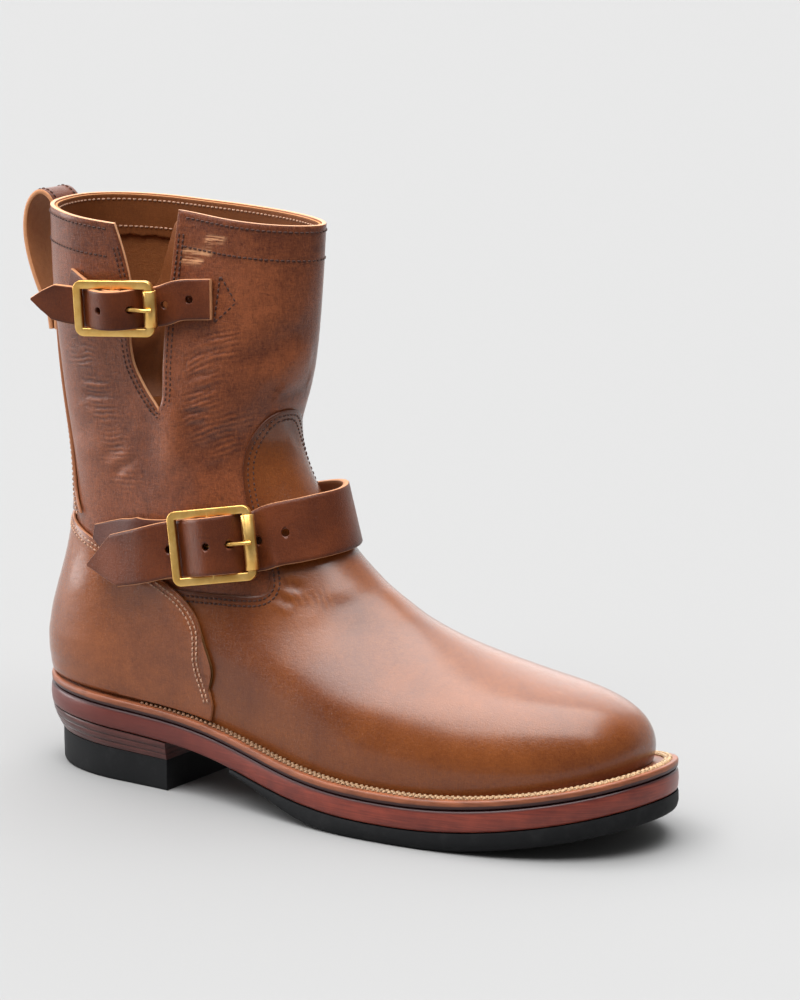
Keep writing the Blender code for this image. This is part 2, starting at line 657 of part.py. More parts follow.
def upper_grid():
    """Angles, levels and outside offsets of the upper's grid. One pair of rows follows the vamp's
    edge, so that the vamp stands proud as a crisp step."""
    angles = mirror_angles(half_columns())
    seam = level_of(angles, vamp_edge(angles))
    below = np.linspace(0.0, 1.0, 12) ** 0.9
    above = np.linspace(0.0, 1.0, 12)
    levels, offsets = [], []
    for share in below:
        levels.append(seam * share)
        offsets.append(np.full_like(angles, VAMP_STEP))
    for share in above:
        levels.append(seam + 0.004 + (1 - seam - 0.004) * share)
        offsets.append(np.zeros_like(angles))
    return np.broadcast_to(angles, (len(levels), len(angles))), np.array(levels), np.array(offsets)


def build_upper():
    angles, levels, offsets = upper_grid()
    outer = upper_at(angles, levels, offsets)
    inner = upper_at(angles, levels, np.full_like(levels, -SHAFT_WALL))
    outer[0, :, 2] = sole_top(outer[0, :, 0]) + FOOT_GAP
    inner[0, :, 2] = sole_top(inner[0, :, 0]) + FOOT_GAP
    made = shell("upper", outer, inner, LEATHER, wrap=True)
    boolean(made, slit_cutter("slit_in_upper", 0.0))
    return made


def slit_cutter(name, widen):
    """An upright block with the slit's outline, through the outer wall only."""
    heights = [edge.z for edge in SLIT]
    rear = [(slit_rear(z) - widen, z - (widen if z == heights[0] else 0.0)) for z in heights]
    front = [(slit_front(z) + widen, z - (widen if z == heights[0] else 0.0)) for z in heights]
    outline = rear + front[::-1]
    sections = [[(x, y, z) for x, z in outline] for y in (SLIT_OUTER_Y, SLIT_INNER_Y)]
    return as_cutter(loft(name, sections, LEATHER))


def build_counter():
    spread = np.linspace(0.0, 1.0, len(COUNTER_EDGE))
    foot = monotone_spline(spread, column(COUNTER_EDGE, "foot_angle"))
    top = natural_spline(spread, column(COUNTER_EDGE, "top_angle"))
    height = monotone_spline(spread, column(COUNTER_EDGE, "top_z"))
    half = np.linspace(0.0, 1.0, 15)
    shares = np.concatenate([half, half[-2::-1]])
    inner_side = np.arange(len(shares)) >= len(half)
    foot_angle = np.where(inner_side, 360.0 - foot(shares), foot(shares))
    top_angle = np.where(inner_side, 360.0 - top(shares), top(shares))
    top_level = level_of(top_angle, height(shares))
    start_z = upper_surface(foot_angle, np.zeros_like(foot_angle))[:, 2] + WELT_THICK + 2.6
    foot_level = level_of(foot_angle, start_z)
    seam = level_of(top_angle, vamp_edge(top_angle))
    outer, inner = [], []
    for share in np.linspace(0.0, 1.0, 8):
        angle = foot_angle + (top_angle - foot_angle) * share
        level = foot_level + (top_level - foot_level) * share
        over_vamp = 1 - smoothstep((level - seam - 0.004) / np.maximum(top_level - seam, 0.05))
        rest = VAMP_STEP * np.clip(over_vamp, 0.0, 1.0) + FACET_GAP
        inner.append(upper_at(angle, level, rest))
        outer.append(upper_at(angle, level, rest + COUNTER_THICK))
    return shell("counter", outer, inner, LEATHER)


def build_backstay():
    spread = monotone_spline(column(BACKSTAY_SPREAD, "z"), column(BACKSTAY_SPREAD, "degrees"))
    outer, inner = [], []
    for z in np.linspace(BACKSTAY_SPREAD[0].z, BACKSTAY_SPREAD[-1].z, 9):
        angle = 180.0 + float(spread(z)) * np.linspace(-1.0, 1.0, 9)
        edge_z = np.full_like(angle, z)
        level = level_of(angle, edge_z)
        inner.append(upper_at(angle, level, np.full_like(angle, FACET_GAP + 0.2)))
        outer.append(upper_at(angle, level, np.full_like(angle, FACET_GAP + 0.2 + BACKSTAY_THICK)))
    return shell("backstay", outer, inner, LEATHER)


def build_facing():
    angles = mirror_angles(half_columns())
    outer, inner = [], []
    top = upper_surface(angles, np.ones_like(angles))[:, 2]
    for share in np.linspace(0.0, 1.0, 3):
        level = level_of(angles, top - FACING_DEPTH * (1 - share) - 0.4)
        outer.append(upper_at(angles, level, np.full_like(level, -SHAFT_WALL - GAP)))
        inner.append(upper_at(angles, level, np.full_like(level, -SHAFT_WALL - GAP - FACING_THICK)))
    made = shell("collar_facing", outer, inner, LINING, wrap=True)
    boolean(made, slit_cutter("slit_in_facing", 0.4))
    return made


def outer_side(x, z):
    """The angle on the outer side at which the surface passes a point seen from the side."""
    angles = np.arange(150.0, 25.0, -2.5)
    along = upper_surface(angles, level_of(angles, z))[:, 0]
    order = np.argsort(along)
    return float(np.interp(x, along[order], angles[order]))


def build_gusset():
    """A sheet folded inwards behind the slit, held to both flaps."""
    share = np.linspace(0.0, 1.0, 9)
    fold = 1 - np.abs(2 * share - 1)
    sections = []
    inset = -(SHAFT_WALL + FACING_THICK + 2 * GAP + GUSSET_THICK / 2 + 0.2)
    for z in np.linspace(SLIT_FOOT_Z + 3.0, GUSSET_TOP_Z, 8):
        ends = []
        for x in (slit_front(z) + GUSSET_TUCK, slit_rear(z) - GUSSET_TUCK):
            angle = np.array([outer_side(float(x), z)])
            ends.append(upper_at(angle, level_of(angle, z), np.array([inset]))[0])
        rise = (z - SLIT_FOOT_Z) / (GUSSET_TOP_Z - SLIT_FOOT_Z)
        line = ends[0] * (1 - share[:, None]) + ends[1] * share[:, None]
        depth = 2.5 + 0.4 * float(slit_front(z) - slit_rear(z))
        line[:, 1] += depth * smoothstep(fold * 1.1)
        line[:, 2] -= GUSSET_DIP * rise * fold
        half = np.array([0.0, GUSSET_THICK / 2, 0.0])
        sections.append(np.vstack([line - half, (line + half)[::-1]]))
    return loft("gusset", sections, LINING)


# Straps and buckles.


def unit(vector):
    return vector / np.linalg.norm(vector, axis=-1, keepdims=True)


def surface_point(angle, z):
    angle = np.array([float(angle)])
    level = level_of(angle, z)
    return upper_surface(angle, level)[0], upper_normal(angle, level)[0]


class Seat:
    """A buckle's own frame: its middle, and the directions along the strap, across it and out."""

    def __init__(self, row):
        point, out = surface_point(row.angle, row.z)
        ahead = surface_point(row.angle - 14.0, row.z + row.slope)[0]
        behind = surface_point(row.angle + 14.0, row.z - row.slope)[0]
        self.along = unit(ahead - behind)
        self.out = unit(out - self.along * (out @ self.along))
        self.across = np.cross(self.out, self.along)
        self.centre = point + self.out * row.lift
        self.length, self.height = row.length, row.height
        self.bar_at = row.length / 2 - FRAME_WIDTH / 2

    def at(self, along, across, out):
        return self.centre + self.along * along + self.across * across + self.out * out


def strap_line(rows, seat):
    """Middle points, widthwise directions and widths of a strap from its table."""
    points, ups, widths = [], [], []
    for row in rows:
        if isinstance(row, InBuckle):
            points.append(seat.at(row.along, row.across, row.out))
            ups.append(seat.across)
        else:
            point, normal = surface_point(row.angle, row.z)
            level_out = unit(np.array([normal[0], normal[1], 0.0]))
            lean = math.radians(row.lean)
            points.append(point + level_out * row.push)
            ups.append(np.array([0.0, 0.0, 1.0]) * math.cos(lean) - level_out * math.sin(lean))
        widths.append(row.width)
    return np.array(points), np.array(ups), np.array(widths)


def band(name, points, ups, widths, thick, count, finish):
    """A flat strip of leather along a smooth line through the points."""
    run = np.concatenate([[0.0], np.cumsum(np.linalg.norm(np.diff(points, axis=0), axis=1))])
    at = np.linspace(0.0, run[-1], count)
    line = np.column_stack([natural_spline(run, points[:, i])(at) for i in range(3)])
    up = np.column_stack([monotone_spline(run, ups[:, i])(at) for i in range(3)])
    width = monotone_spline(run, widths)(at)[:, None]
    ahead = unit(np.gradient(line, at, axis=0))
    up = unit(up - ahead * np.sum(up * ahead, axis=1, keepdims=True))
    out = np.cross(up, ahead)
    side, face = up * width / 2, out * thick / 2
    corners = [line + side + face, line - side + face, line - side - face, line + side - face]
    return loft(name, np.stack(corners, axis=1), finish)


def cylinder(name, start, end, radius, finish, sides=16):
    """A straight rod between two points."""
    start, end = Vector(start.tolist()), Vector(end.tolist())
    work = bmesh.new()
    bmesh.ops.create_cone(
        work, cap_ends=True, segments=sides, radius1=radius, radius2=radius, depth=(end - start).length
    )
    turn = Vector((0, 0, 1)).rotation_difference(end - start).to_matrix().to_4x4()
    bmesh.ops.transform(work, matrix=turn, verts=work.verts)
    bmesh.ops.translate(work, vec=(start + end) / 2, verts=work.verts)
    points = [tuple(vert.co) for vert in work.verts]
    work.verts.index_update()
    faces = [tuple(vert.index for vert in face.verts) for face in work.faces]
    work.free()
    return add_object(name, points, faces, finish)


def swept_rod(name, points, across, radius, finish, sides=8):
    """A round rod along a line that stays in the plane square to the across direction."""
    points = np.asarray(points, float)
    ahead = unit(np.gradient(points, axis=0))
    across = np.broadcast_to(across, points.shape)
    out = np.cross(ahead, across)
    turn = np.linspace(0.0, 2 * math.pi, sides, endpoint=False)
    ring = [points + radius * (across * math.cos(t) + out * math.sin(t)) for t in turn]
    return loft(name, np.stack(ring, axis=1), finish)


def build_buckle(prefix, row, strap_rows, chape_rows, strap_count, chape_count, hole_from, hole_to):
    seat = Seat(row)
    # The frame is a rounded rectangle of square bar with worn corners.
    corner = 2.1
    half_l, half_h = seat.bar_at, seat.height / 2 - FRAME_WIDTH / 2
    outline = []
    for i, (sx, sy) in enumerate([(1, 1), (-1, 1), (-1, -1), (1, -1)]):
        for k in range(4):
            turn = math.radians(90.0 * i + 30.0 * k)
            middle = ((half_l - corner) * sx, (half_h - corner) * sy)
            direction = (math.cos(turn), math.sin(turn))
            outline.append((middle, direction))
    w, d, c = FRAME_WIDTH / 2, FRAME_DEPTH / 2, 0.7
    profile = [
        (w, d - c), (w - c, d), (c - w, d), (-w, d - c),
        (-w, c - d), (c - w, -d), (w - c, -d), (w, c - d),
    ]
    sections = []
    for middle, direction in outline:
        reach = [corner + part[0] for part in profile]
        section = [
            seat.at(middle[0] + direction[0] * r, middle[1] + direction[1] * r, part[1])
            for r, part in zip(reach, profile)
        ]
        sections.append(section)
    frame = loft(f"buckle_{prefix}_frame", sections, BRASS, ring=True)
    bar_end = half_h
    bar = cylinder(
        f"bar_{prefix}", seat.at(0, -bar_end, 0), seat.at(0, bar_end, 0), BAR_RADIUS, BRASS, sides=12
    )
    boolean(frame, as_cutter(bar), "UNION")
    # The roller turns round the front bar.
    roller_end = half_h - corner - 0.3
    roller = cylinder(
        f"buckle_{prefix}_roller",
        seat.at(half_l, -roller_end, 0),
        seat.at(half_l, roller_end, 0),
        ROLLER_RADIUS,
        BRASS,
    )
    bore = cylinder(
        f"bore_{prefix}",
        seat.at(half_l, -roller_end - 2, 0),
        seat.at(half_l, roller_end + 2, 0),
        ROLLER_BORE,
        BRASS,
    )
    boolean(roller, as_cutter(bore))
    # The prong hooks round the middle bar and lies on the roller.
    eye = BAR_RADIUS + GAP + PRONG_RADIUS
    rest = ROLLER_RADIUS + GAP + PRONG_RADIUS
    hook = [
        (eye * math.cos(math.radians(t)), eye * math.sin(math.radians(t)))
        for t in (-60.0, -100.0, -140.0, 180.0, 140.0, 100.0, 70.0)
    ]
    reach = [
        (5.0, 2.5),
        (10.0, 3.0),
        (half_l - 2.4, rest),
        (half_l + 0.4, rest + 0.1),
        (half_l + 2.4, rest - 0.6),
    ]
    line = [seat.at(a, 0.0, o) for a, o in hook + reach]
    swept_rod(f"buckle_{prefix}_prong", line, seat.across, PRONG_RADIUS, BRASS)
    points, ups, widths = strap_line(strap_rows, seat)
    strap = band(f"strap_{prefix}", points, ups, widths, STRAP_THICK, strap_count, STRAP_LEATHER)
    hole = cylinder(
        f"prong_hole_{prefix}",
        seat.at(hole_from, 0.0, 2.4),
        seat.at(hole_to, 0.0, 3.8),
        HOLE_RADIUS,
        BRASS,
        sides=12,
    )
    boolean(strap, as_cutter(hole))
    points, ups, widths = strap_line(chape_rows, seat)
    chape = band(f"chape_{prefix}", points, ups, widths, CHAPE_THICK, chape_count, STRAP_LEATHER)
    slot = [
        [seat.at(a, c, o) for a, c in ((-8, -SLOT_HALF), (7, -SLOT_HALF), (7, SLOT_HALF), (-8, SLOT_HALF))]
        for o in (-5.5, 5.5)
    ]
    boolean(chape, as_cutter(loft(f"prong_slot_{prefix}", slot, BRASS)))


def build_pull_loop():
    points = np.array([(p.x, 0.0, p.z) for p in PULL_LOOP])
    ups = np.tile([0.0, 1.0, 0.0], (len(points), 1))
    widths = np.full(len(points), PULL_WIDTH)
    return band("pull_loop", points, ups, widths, PULL_THICK, 30, STRAP_LEATHER)


def remove_scene():
    for old in list(bpy.data.objects):
        bpy.data.objects.remove(old, do_unlink=True)


remove_scene()
boot = bpy.data.collections.new("engineer_boot")
cutters = bpy.data.collections.new("cutters")
for group in (boot, cutters):
    bpy.context.scene.collection.children.link(group)
cutters.hide_render = True
root = bpy.data.objects.new("boot_root", None)
boot.objects.link(root)

LEATHER = material("tan_leather", (0.30, 0.11, 0.035), 0.38)
STRAP_LEATHER = material("strap_leather", (0.24, 0.085, 0.035), 0.42)
LINING = material("lining_leather", (0.36, 0.19, 0.07), 0.7)
WELT_LEATHER = material("welt_leather", (0.24, 0.10, 0.04), 0.5)
EDGE_LEATHER = material("sole_edge_leather", (0.22, 0.06, 0.035), 0.35)
RUBBER = material("black_rubber", (0.02, 0.02, 0.022), 0.6)
BRASS = material("brass", (0.72, 0.50, 0.18), 0.28, 1.0)

build_midsole()
build_outsole()
build_welt()
build_heel()
build_insole()
build_upper()
build_counter()
build_backstay()
build_facing()
build_gusset()
build_pull_loop()
build_buckle("instep", INSTEP_SEAT, INSTEP_STRAP, INSTEP_CHAPE, 54, 44, 3.0, 14.5)
build_buckle("top", TOP_SEAT, TOP_STRAP, TOP_CHAPE, 40, 30, 3.0, 13.5)
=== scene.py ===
"""Looks of a right engineer boot: leather, thread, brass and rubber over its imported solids.

The boot's own frame runs X forward from the back of the heel, Y towards the inner side of the foot
and Z up from the floor, in millimetres. Each mesh is turned into the row frame, in metres, when it is
made. The surfaces follow the same functions as the solids, on finer grids.
"""

import math
from collections import namedtuple

import bmesh
import bpy
import numpy as np
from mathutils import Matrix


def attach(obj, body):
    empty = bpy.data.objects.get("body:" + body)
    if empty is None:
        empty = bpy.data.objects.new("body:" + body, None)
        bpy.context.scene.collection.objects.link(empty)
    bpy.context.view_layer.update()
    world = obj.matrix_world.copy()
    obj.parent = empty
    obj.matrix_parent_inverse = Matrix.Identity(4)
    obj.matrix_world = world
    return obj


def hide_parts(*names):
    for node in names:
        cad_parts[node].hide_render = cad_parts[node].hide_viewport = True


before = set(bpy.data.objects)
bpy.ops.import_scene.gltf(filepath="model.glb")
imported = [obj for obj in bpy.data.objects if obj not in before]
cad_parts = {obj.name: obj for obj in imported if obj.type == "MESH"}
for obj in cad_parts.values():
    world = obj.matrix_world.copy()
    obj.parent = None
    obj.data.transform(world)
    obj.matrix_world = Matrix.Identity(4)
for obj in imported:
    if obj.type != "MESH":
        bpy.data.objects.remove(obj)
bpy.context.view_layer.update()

# Shaft. The leg of the boot is oiled tan leather 2 mm thick with raw edges, cut with a V slit on the
# outer side. It is lasted over the insole and runs down inside the vamp and the counter.

MM = 0.001
ORIGIN = np.array([141.9, 0.0, 0.0])
SHAFT_WALL = 2.0
MIDSOLE_THICK = 9.2

SoleLine = namedtuple("SoleLine", "x z")
SOLE_LINE = [
    SoleLine(-6.0, 26.9), SoleLine(35.0, 24.5), SoleLine(70.0, 22.3), SoleLine(95.0, 20.2),
    SoleLine(120.0, 16.0), SoleLine(145.0, 11.3), SoleLine(170.0, 8.4), SoleLine(195.0, 7.6),
    SoleLine(218.0, 8.0), SoleLine(242.0, 10.2), SoleLine(266.0, 14.0), SoleLine(290.0, 19.2),
    SoleLine(308.0, 24.0),
]
Slice = namedtuple(
    "Slice",
    "back_x back_z front_x front_z rear_lat rear_med fore_lat fore_med waist_lat waist_med "
    "back_len back_pow front_len front_pow swing follow",
)
SLICES = [
    Slice(4.6, 36.0, 284.6, 27.6, 32.6, 30.8, 46.8, 43.6, 2.6, 8.5, 0.17, 2.2, 0.36, 2.35, 6.0, 1.00),
    Slice(2.4, 39.6, 288.2, 34.5, 33.4, 31.8, 48.0, 44.8, 2.4, 8.0, 0.17, 2.2, 0.36, 2.35, 6.0, 0.93),
    Slice(0.9, 43.2, 288.6, 43.5, 34.2, 32.8, 48.6, 45.2, 2.0, 7.0, 0.17, 2.2, 0.37, 2.30, 6.0, 0.82),
    Slice(0.2, 46.9, 282.6, 52.4, 34.7, 33.4, 47.6, 44.2, 1.6, 5.5, 0.18, 2.2, 0.39, 2.25, 5.8, 0.68),
    Slice(0.0, 50.5, 268.6, 58.8, 34.9, 33.7, 45.6, 42.6, 1.2, 4.2, 0.18, 2.2, 0.42, 2.20, 5.4, 0.52),
    Slice(0.0, 54.0, 249.0, 62.6, 34.9, 33.8, 43.2, 40.8, 0.8, 3.0, 0.19, 2.2, 0.46, 2.15, 4.8, 0.38),
    Slice(0.2, 57.5, 226.6, 66.6, 34.8, 33.8, 41.2, 39.4, 0.4, 2.0, 0.20, 2.2, 0.49, 2.10, 4.0, 0.25),
    Slice(0.7, 61.4, 203.6, 72.4, 34.5, 33.5, 39.4, 37.8, 0.2, 1.2, 0.22, 2.2, 0.51, 2.05, 3.0, 0.15),
    Slice(1.6, 66.2, 181.6, 81.4, 34.0, 33.0, 37.6, 36.2, 0.0, 0.6, 0.24, 2.2, 0.52, 2.00, 2.0, 0.08),
    Slice(3.0, 72.2, 161.6, 94.2, 33.3, 32.3, 36.0, 34.6, 0.0, 0.2, 0.26, 2.2, 0.52, 2.00, 1.0, 0.03),
    Slice(5.2, 80.2, 144.8, 109.6, 32.6, 31.5, 34.8, 33.2, 0.0, 0.0, 0.28, 2.2, 0.52, 2.00, 0.4, 0.00),
    Slice(8.4, 91.0, 131.4, 126.0, 32.0, 31.0, 34.2, 32.4, 0.0, 0.0, 0.30, 2.2, 0.51, 2.05, 0.0, 0.00),
    Slice(12.2, 106.0, 121.8, 141.6, 32.0, 30.8, 34.6, 32.2, 0.0, 0.0, 0.32, 2.2, 0.50, 2.10, 0.0, 0.00),
    Slice(14.4, 124.0, 119.0, 156.6, 33.0, 30.8, 35.4, 32.0, 0.0, 0.0, 0.33, 2.2, 0.50, 2.15, 0.0, 0.00),
    Slice(12.4, 146.0, 124.6, 173.5, 35.0, 30.8, 35.4, 31.4, 0.0, 0.0, 0.34, 2.2, 0.50, 2.10, 0.0, 0.00),
    Slice(7.8, 172.0, 130.2, 195.0, 37.2, 30.6, 33.6, 30.4, 0.0, 0.0, 0.34, 2.2, 0.50, 2.00, 0.0, 0.00),
    Slice(4.4, 210.0, 133.2, 219.0, 39.4, 30.2, 30.4, 29.2, 0.0, 0.0, 0.33, 2.2, 0.50, 1.90, 0.0, 0.00),
    Slice(4.2, 248.0, 135.2, 244.6, 41.0, 29.6, 27.4, 28.4, 0.0, 0.0, 0.32, 2.2, 0.50, 1.85, 0.0, 0.00),
]
REAR_AT, FORE_AT, WAIST_AT, WAIST_SPREAD = 0.20, 0.66, 0.42, 0.15

SlitEdge = namedtuple("SlitEdge", "z rear_x front_x")
SLIT = [
    SlitEdge(165.4, 75.0, 75.0), SlitEdge(167.5, 73.2, 76.2), SlitEdge(174.0, 68.0, 77.0),
    SlitEdge(186.0, 62.0, 76.6), SlitEdge(200.0, 61.0, 76.6), SlitEdge(214.0, 62.4, 77.0),
    SlitEdge(230.0, 60.0, 78.0), SlitEdge(262.0, 51.0, 80.0),
]
SLIT_FOOT_Z, COLLAR_Z = 168.0, SLICES[-1].front_z
FLAP_OUT, FLAP_IN, FLAP_DROP, FLAP_RISE, FLAP_REACH = 5.0, 3.5, 3.0, 4.0, 34.0


def natural_spline(knots, values):
    """A curve with continuous curvature through (knot, value) pairs: cubics whose second derivatives
    solve one linear system and vanish at the ends."""
    t, y = np.asarray(knots, float), np.asarray(values, float)
    step = np.diff(t)
    slope = np.diff(y) / step
    count = len(t)
    system = np.eye(count)
    right = np.zeros(count)
    inside = np.arange(1, count - 1)
    system[inside, inside - 1] = step[:-1]
    system[inside, inside] = 2 * (step[:-1] + step[1:])
    system[inside, inside + 1] = step[1:]
    right[1:-1] = 6 * np.diff(slope)
    bend = np.linalg.solve(system, right)

    def at(where):
        q = np.clip(np.asarray(where, float), t[0], t[-1])
        i = np.clip(np.searchsorted(t, q, side="right") - 1, 0, count - 2)
        h = step[i]
        a, b = (t[i + 1] - q) / h, (q - t[i]) / h
        curve = ((a**3 - a) * bend[i] + (b**3 - b) * bend[i + 1]) * h * h / 6
        return a * y[i] + b * y[i + 1] + curve

    return at


def monotone_spline(knots, values):
    """A smooth curve through (knot, value) pairs that never overshoots: cubics whose end slopes are
    kept below three times the smaller slope beside them."""
    t, y = np.asarray(knots, float), np.asarray(values, float)
    step = np.diff(t)
    slope = np.diff(y) / step
    before, after = slope[:-1], slope[1:]
    limit = 3 * np.minimum(np.abs(before), np.abs(after))
    middle = np.sign(after) * np.minimum(np.abs(before + after) / 2, limit)
    tangent = np.concatenate([slope[:1], np.where(before * after > 0, middle, 0.0), slope[-1:]])

    def at(where):
        q = np.clip(np.asarray(where, float), t[0], t[-1])
        i = np.clip(np.searchsorted(t, q, side="right") - 1, 0, len(t) - 2)
        h = step[i]
        u = (q - t[i]) / h
        start = (1 + 2 * u) * (1 - u) ** 2 * y[i] + u * (1 - u) ** 2 * h * tangent[i]
        end = u * u * (3 - 2 * u) * y[i + 1] + u * u * (u - 1) * h * tangent[i + 1]
        return start + end

    return at


def column(rows, name):
    """One field of every row of a table."""
    return [getattr(row, name) for row in rows]


def smoothstep(t):
    """From 0 to 1 and level at both ends: three t squared less two t cubed."""
    t = np.clip(t, 0.0, 1.0)
    return t * t * (3 - 2 * t)


def bell(t):
    """From 1 in the middle to 0 far out on either side: e to the power of minus t squared."""
    return np.exp(-(t**2))


def unit(vector):
    """A vector divided by its length."""
    return vector / np.maximum(np.linalg.norm(vector, axis=-1, keepdims=True), 1e-9)


sole_underside = natural_spline(column(SOLE_LINE, "x"), column(SOLE_LINE, "z"))
slice_levels = np.linspace(0.0, 1.0, len(SLICES))
slice_value = {name: natural_spline(slice_levels, column(SLICES, name)) for name in Slice._fields}
slit_rear = monotone_spline(column(SLIT, "z"), column(SLIT, "rear_x"))
slit_front = monotone_spline(column(SLIT, "z"), column(SLIT, "front_x"))


def sole_top(x):
    """Height of the midsole's top: its underside plus its thickness."""
    return sole_underside(x) + MIDSOLE_THICK


def rounded_end(reach, length, power):
    """Share of the full width at a distance from a rounded end: a superellipse quarter."""
    rest = 1 - np.clip(reach / length, 0.0, 1.0)
    return (1 - rest**power) ** (1 / power)


def flap_shift(points):
    """The slit's rear flap stands out and dips and its front flap tucks in and rises, by a bell curve
    of the distance from the slit that grows with height."""
    x, y, z = points[..., 0], points[..., 1], points[..., 2]
    lift = np.clip((z - SLIT_FOOT_Z) / (COLLAR_Z - SLIT_FOOT_Z), 0.0, 1.2) ** 1.4
    lift = lift * smoothstep(-y / 12.0)
    middle = (slit_rear(z) + slit_front(z)) / 2
    near = bell((x - middle) / FLAP_REACH) * lift
    rear = x < middle
    out = np.where(rear, -FLAP_OUT, FLAP_IN) * near
    rise = np.where(rear, -FLAP_DROP, FLAP_RISE) * near
    return points + np.stack([np.zeros_like(out), out, rise], -1)


def upper_surface(angle, level):
    """Outer surface of the shaft at an angle in degrees (0 toe, 90 outer side, 180 heel) and a level
    (0 feather line, 1 collar). Each level is an oval from a back point to a front point, with rounded
    ends, its own half widths and a waist, and the low ones follow the sole's curve."""
    angle, level = np.broadcast_arrays(np.asarray(angle, float), np.asarray(level, float))
    value = {name: curve(level) for name, curve in slice_value.items()}
    turn = np.radians(angle)
    along = (1 + np.cos(turn)) / 2
    x = value["back_x"] + (value["front_x"] - value["back_x"]) * along
    z = value["back_z"] + (value["front_z"] - value["back_z"]) * along
    chord = sole_top(value["back_x"]) * (1 - along) + sole_top(value["front_x"]) * along
    z = z + value["follow"] * (sole_top(x) - chord)
    outer = np.sin(turn) >= 0
    rear = np.where(outer, value["rear_lat"], value["rear_med"])
    fore = np.where(outer, value["fore_lat"], value["fore_med"])
    waist = np.where(outer, value["waist_lat"], value["waist_med"])
    width = rear + (fore - rear) * smoothstep((along - REAR_AT) / (FORE_AT - REAR_AT))
    width = width - waist * bell((along - WAIST_AT) / WAIST_SPREAD)
    width = width * rounded_end(along, value["back_len"], value["back_pow"])
    width = width * rounded_end(1 - along, value["front_len"], value["front_pow"])
    middle = value["swing"] * np.clip((along - 0.45) / 0.55, 0.0, 1.0) ** 1.6
    return flap_shift(np.stack([x, middle + np.where(outer, -width, width), z], -1))


def upper_slopes(angle, level):
    """The surface's change with angle and with level, by differences over a small step."""
    d_angle, d_level = 0.4, 0.004
    after, before = upper_surface(angle + d_angle, level), upper_surface(angle - d_angle, level)
    low, high = np.clip(level - d_level, 0, 1), np.clip(level + d_level, 0, 1)
    by_level = (upper_surface(angle, high) - upper_surface(angle, low)) / (high - low)[..., None]
    return (after - before) / (2 * d_angle), by_level


def upper_normal(angle, level):
    """The direction out of the leather: the cross product of the surface's two slopes."""
    angle, level = np.broadcast_arrays(np.asarray(angle, float), np.asarray(level, float))
    by_angle, by_level = upper_slopes(angle, level)
    return unit(np.cross(by_level, by_angle))


def upper_at(angle, level, offset):
    """A point at a distance out from the surface."""
    return upper_surface(angle, level) + upper_normal(angle, level) * np.asarray(offset, float)[..., None]


def level_at(angle, z):
    """The level where the surface reaches a height, found by halving the range again and again."""
    angle, z = np.broadcast_arrays(np.asarray(angle, float), np.asarray(z, float))
    low, high = np.zeros(z.shape), np.ones(z.shape)
    for _ in range(22):
        middle = (low + high) / 2
        above = upper_surface(angle, middle)[..., 2] > z
        low, high = np.where(above, low, middle), np.where(above, middle, high)
    return (low + high) / 2


def surface_point(angle, z):
    """One point of the surface at an angle and a height, and the direction out of it."""
    angle = np.array([float(angle)])
    level = level_at(angle, float(z))
    return upper_surface(angle, level)[0], upper_normal(angle, level)[0]


# A crease is a soft trough between two places on the upper, bowed upwards by some millimetres, with a
# low ridge along each side. A negative depth makes a ridge. A fan runs in even steps from one crease
# to another.
Crease = namedtuple("Crease", "angle z to_angle to_z bow depth width")
CREASE_SAMPLES = np.linspace(0.0, 1.0, 13)


def fan(first, last, count):
    """Creases in even steps from a first to a last, each moved a little by a sine of its number."""
    share = np.linspace(0.0, 1.0, count)[:, None]
    rows = np.array(first) * (1 - share) + np.array(last) * share
    wobble = np.sin(np.arange(count) * 2.4)[:, None] * np.array([1.6, 0.7, 2.4, 0.9, 0.8, 0.0, 0.0])
    return [Crease(*row) for row in rows + wobble]


SHAFT_CREASES = [
    *fan(
        Crease(72.5, 196.0, 52.0, 202.0, 1.0, 0.28, 1.3),
        Crease(71.0, 160.0, 59.0, 161.0, 0.5, 0.42, 1.2),
        13,
    ),
    *fan(
        Crease(128.0, 192.0, 112.0, 191.0, 0.5, 0.18, 1.4),
        Crease(127.0, 162.0, 106.0, 164.0, 0.8, 0.30, 1.3),
        10,
    ),
    *fan(
        Crease(119.0, 141.0, 100.0, 150.0, 1.0, 0.32, 1.9),
        Crease(110.0, 132.0, 91.0, 142.0, 1.0, 0.26, 1.9),
        4,
    ),
    *fan(
        Crease(57.0, 152.0, 38.5, 159.0, 1.0, 0.35, 2.6),
        Crease(60.0, 141.0, 45.0, 145.0, 1.0, 0.28, 2.6),
        3,
    ),
    *fan(
        Crease(-52.0, 198.0, -74.0, 190.0, 1.0, 0.34, 1.9),
        Crease(-58.0, 160.0, -80.0, 158.0, 0.5, 0.42, 1.8),
        9,
    ),
    *fan(
        Crease(-108.0, 170.0, -132.0, 168.0, 1.0, 0.30, 2.0),
        Crease(-100.0, 140.0, -122.0, 132.0, 1.0, 0.34, 2.0),
        5,
    ),
    Crease(50.5, 183.0, 14.0, 201.0, 3.0, 0.50, 5.5),
    Crease(31.0, 173.0, -6.0, 190.0, 4.0, -1.0, 6.5),
    Crease(24.0, 170.5, -20.0, 172.0, 1.0, 0.55, 4.0),
    Crease(79.5, 172.0, 71.5, 138.0, 0.0, -0.9, 6.0),
    Crease(92.0, 158.0, 84.0, 128.0, 0.0, 0.55, 6.5),
    Crease(127.5, 168.6, 107.5, 168.8, 0.4, 0.6, 1.9),
    Crease(-30.0, 174.0, -62.0, 186.0, 3.0, 0.8, 5.5),
    Crease(-74.0, 176.0, -68.0, 138.0, 0.0, -0.8, 7.0),
    Crease(150.0, 150.0, 118.0, 152.0, 1.0, 0.5, 5.0),
    Crease(-150.0, 152.0, -116.0, 150.0, 1.0, 0.5, 5.0),
]


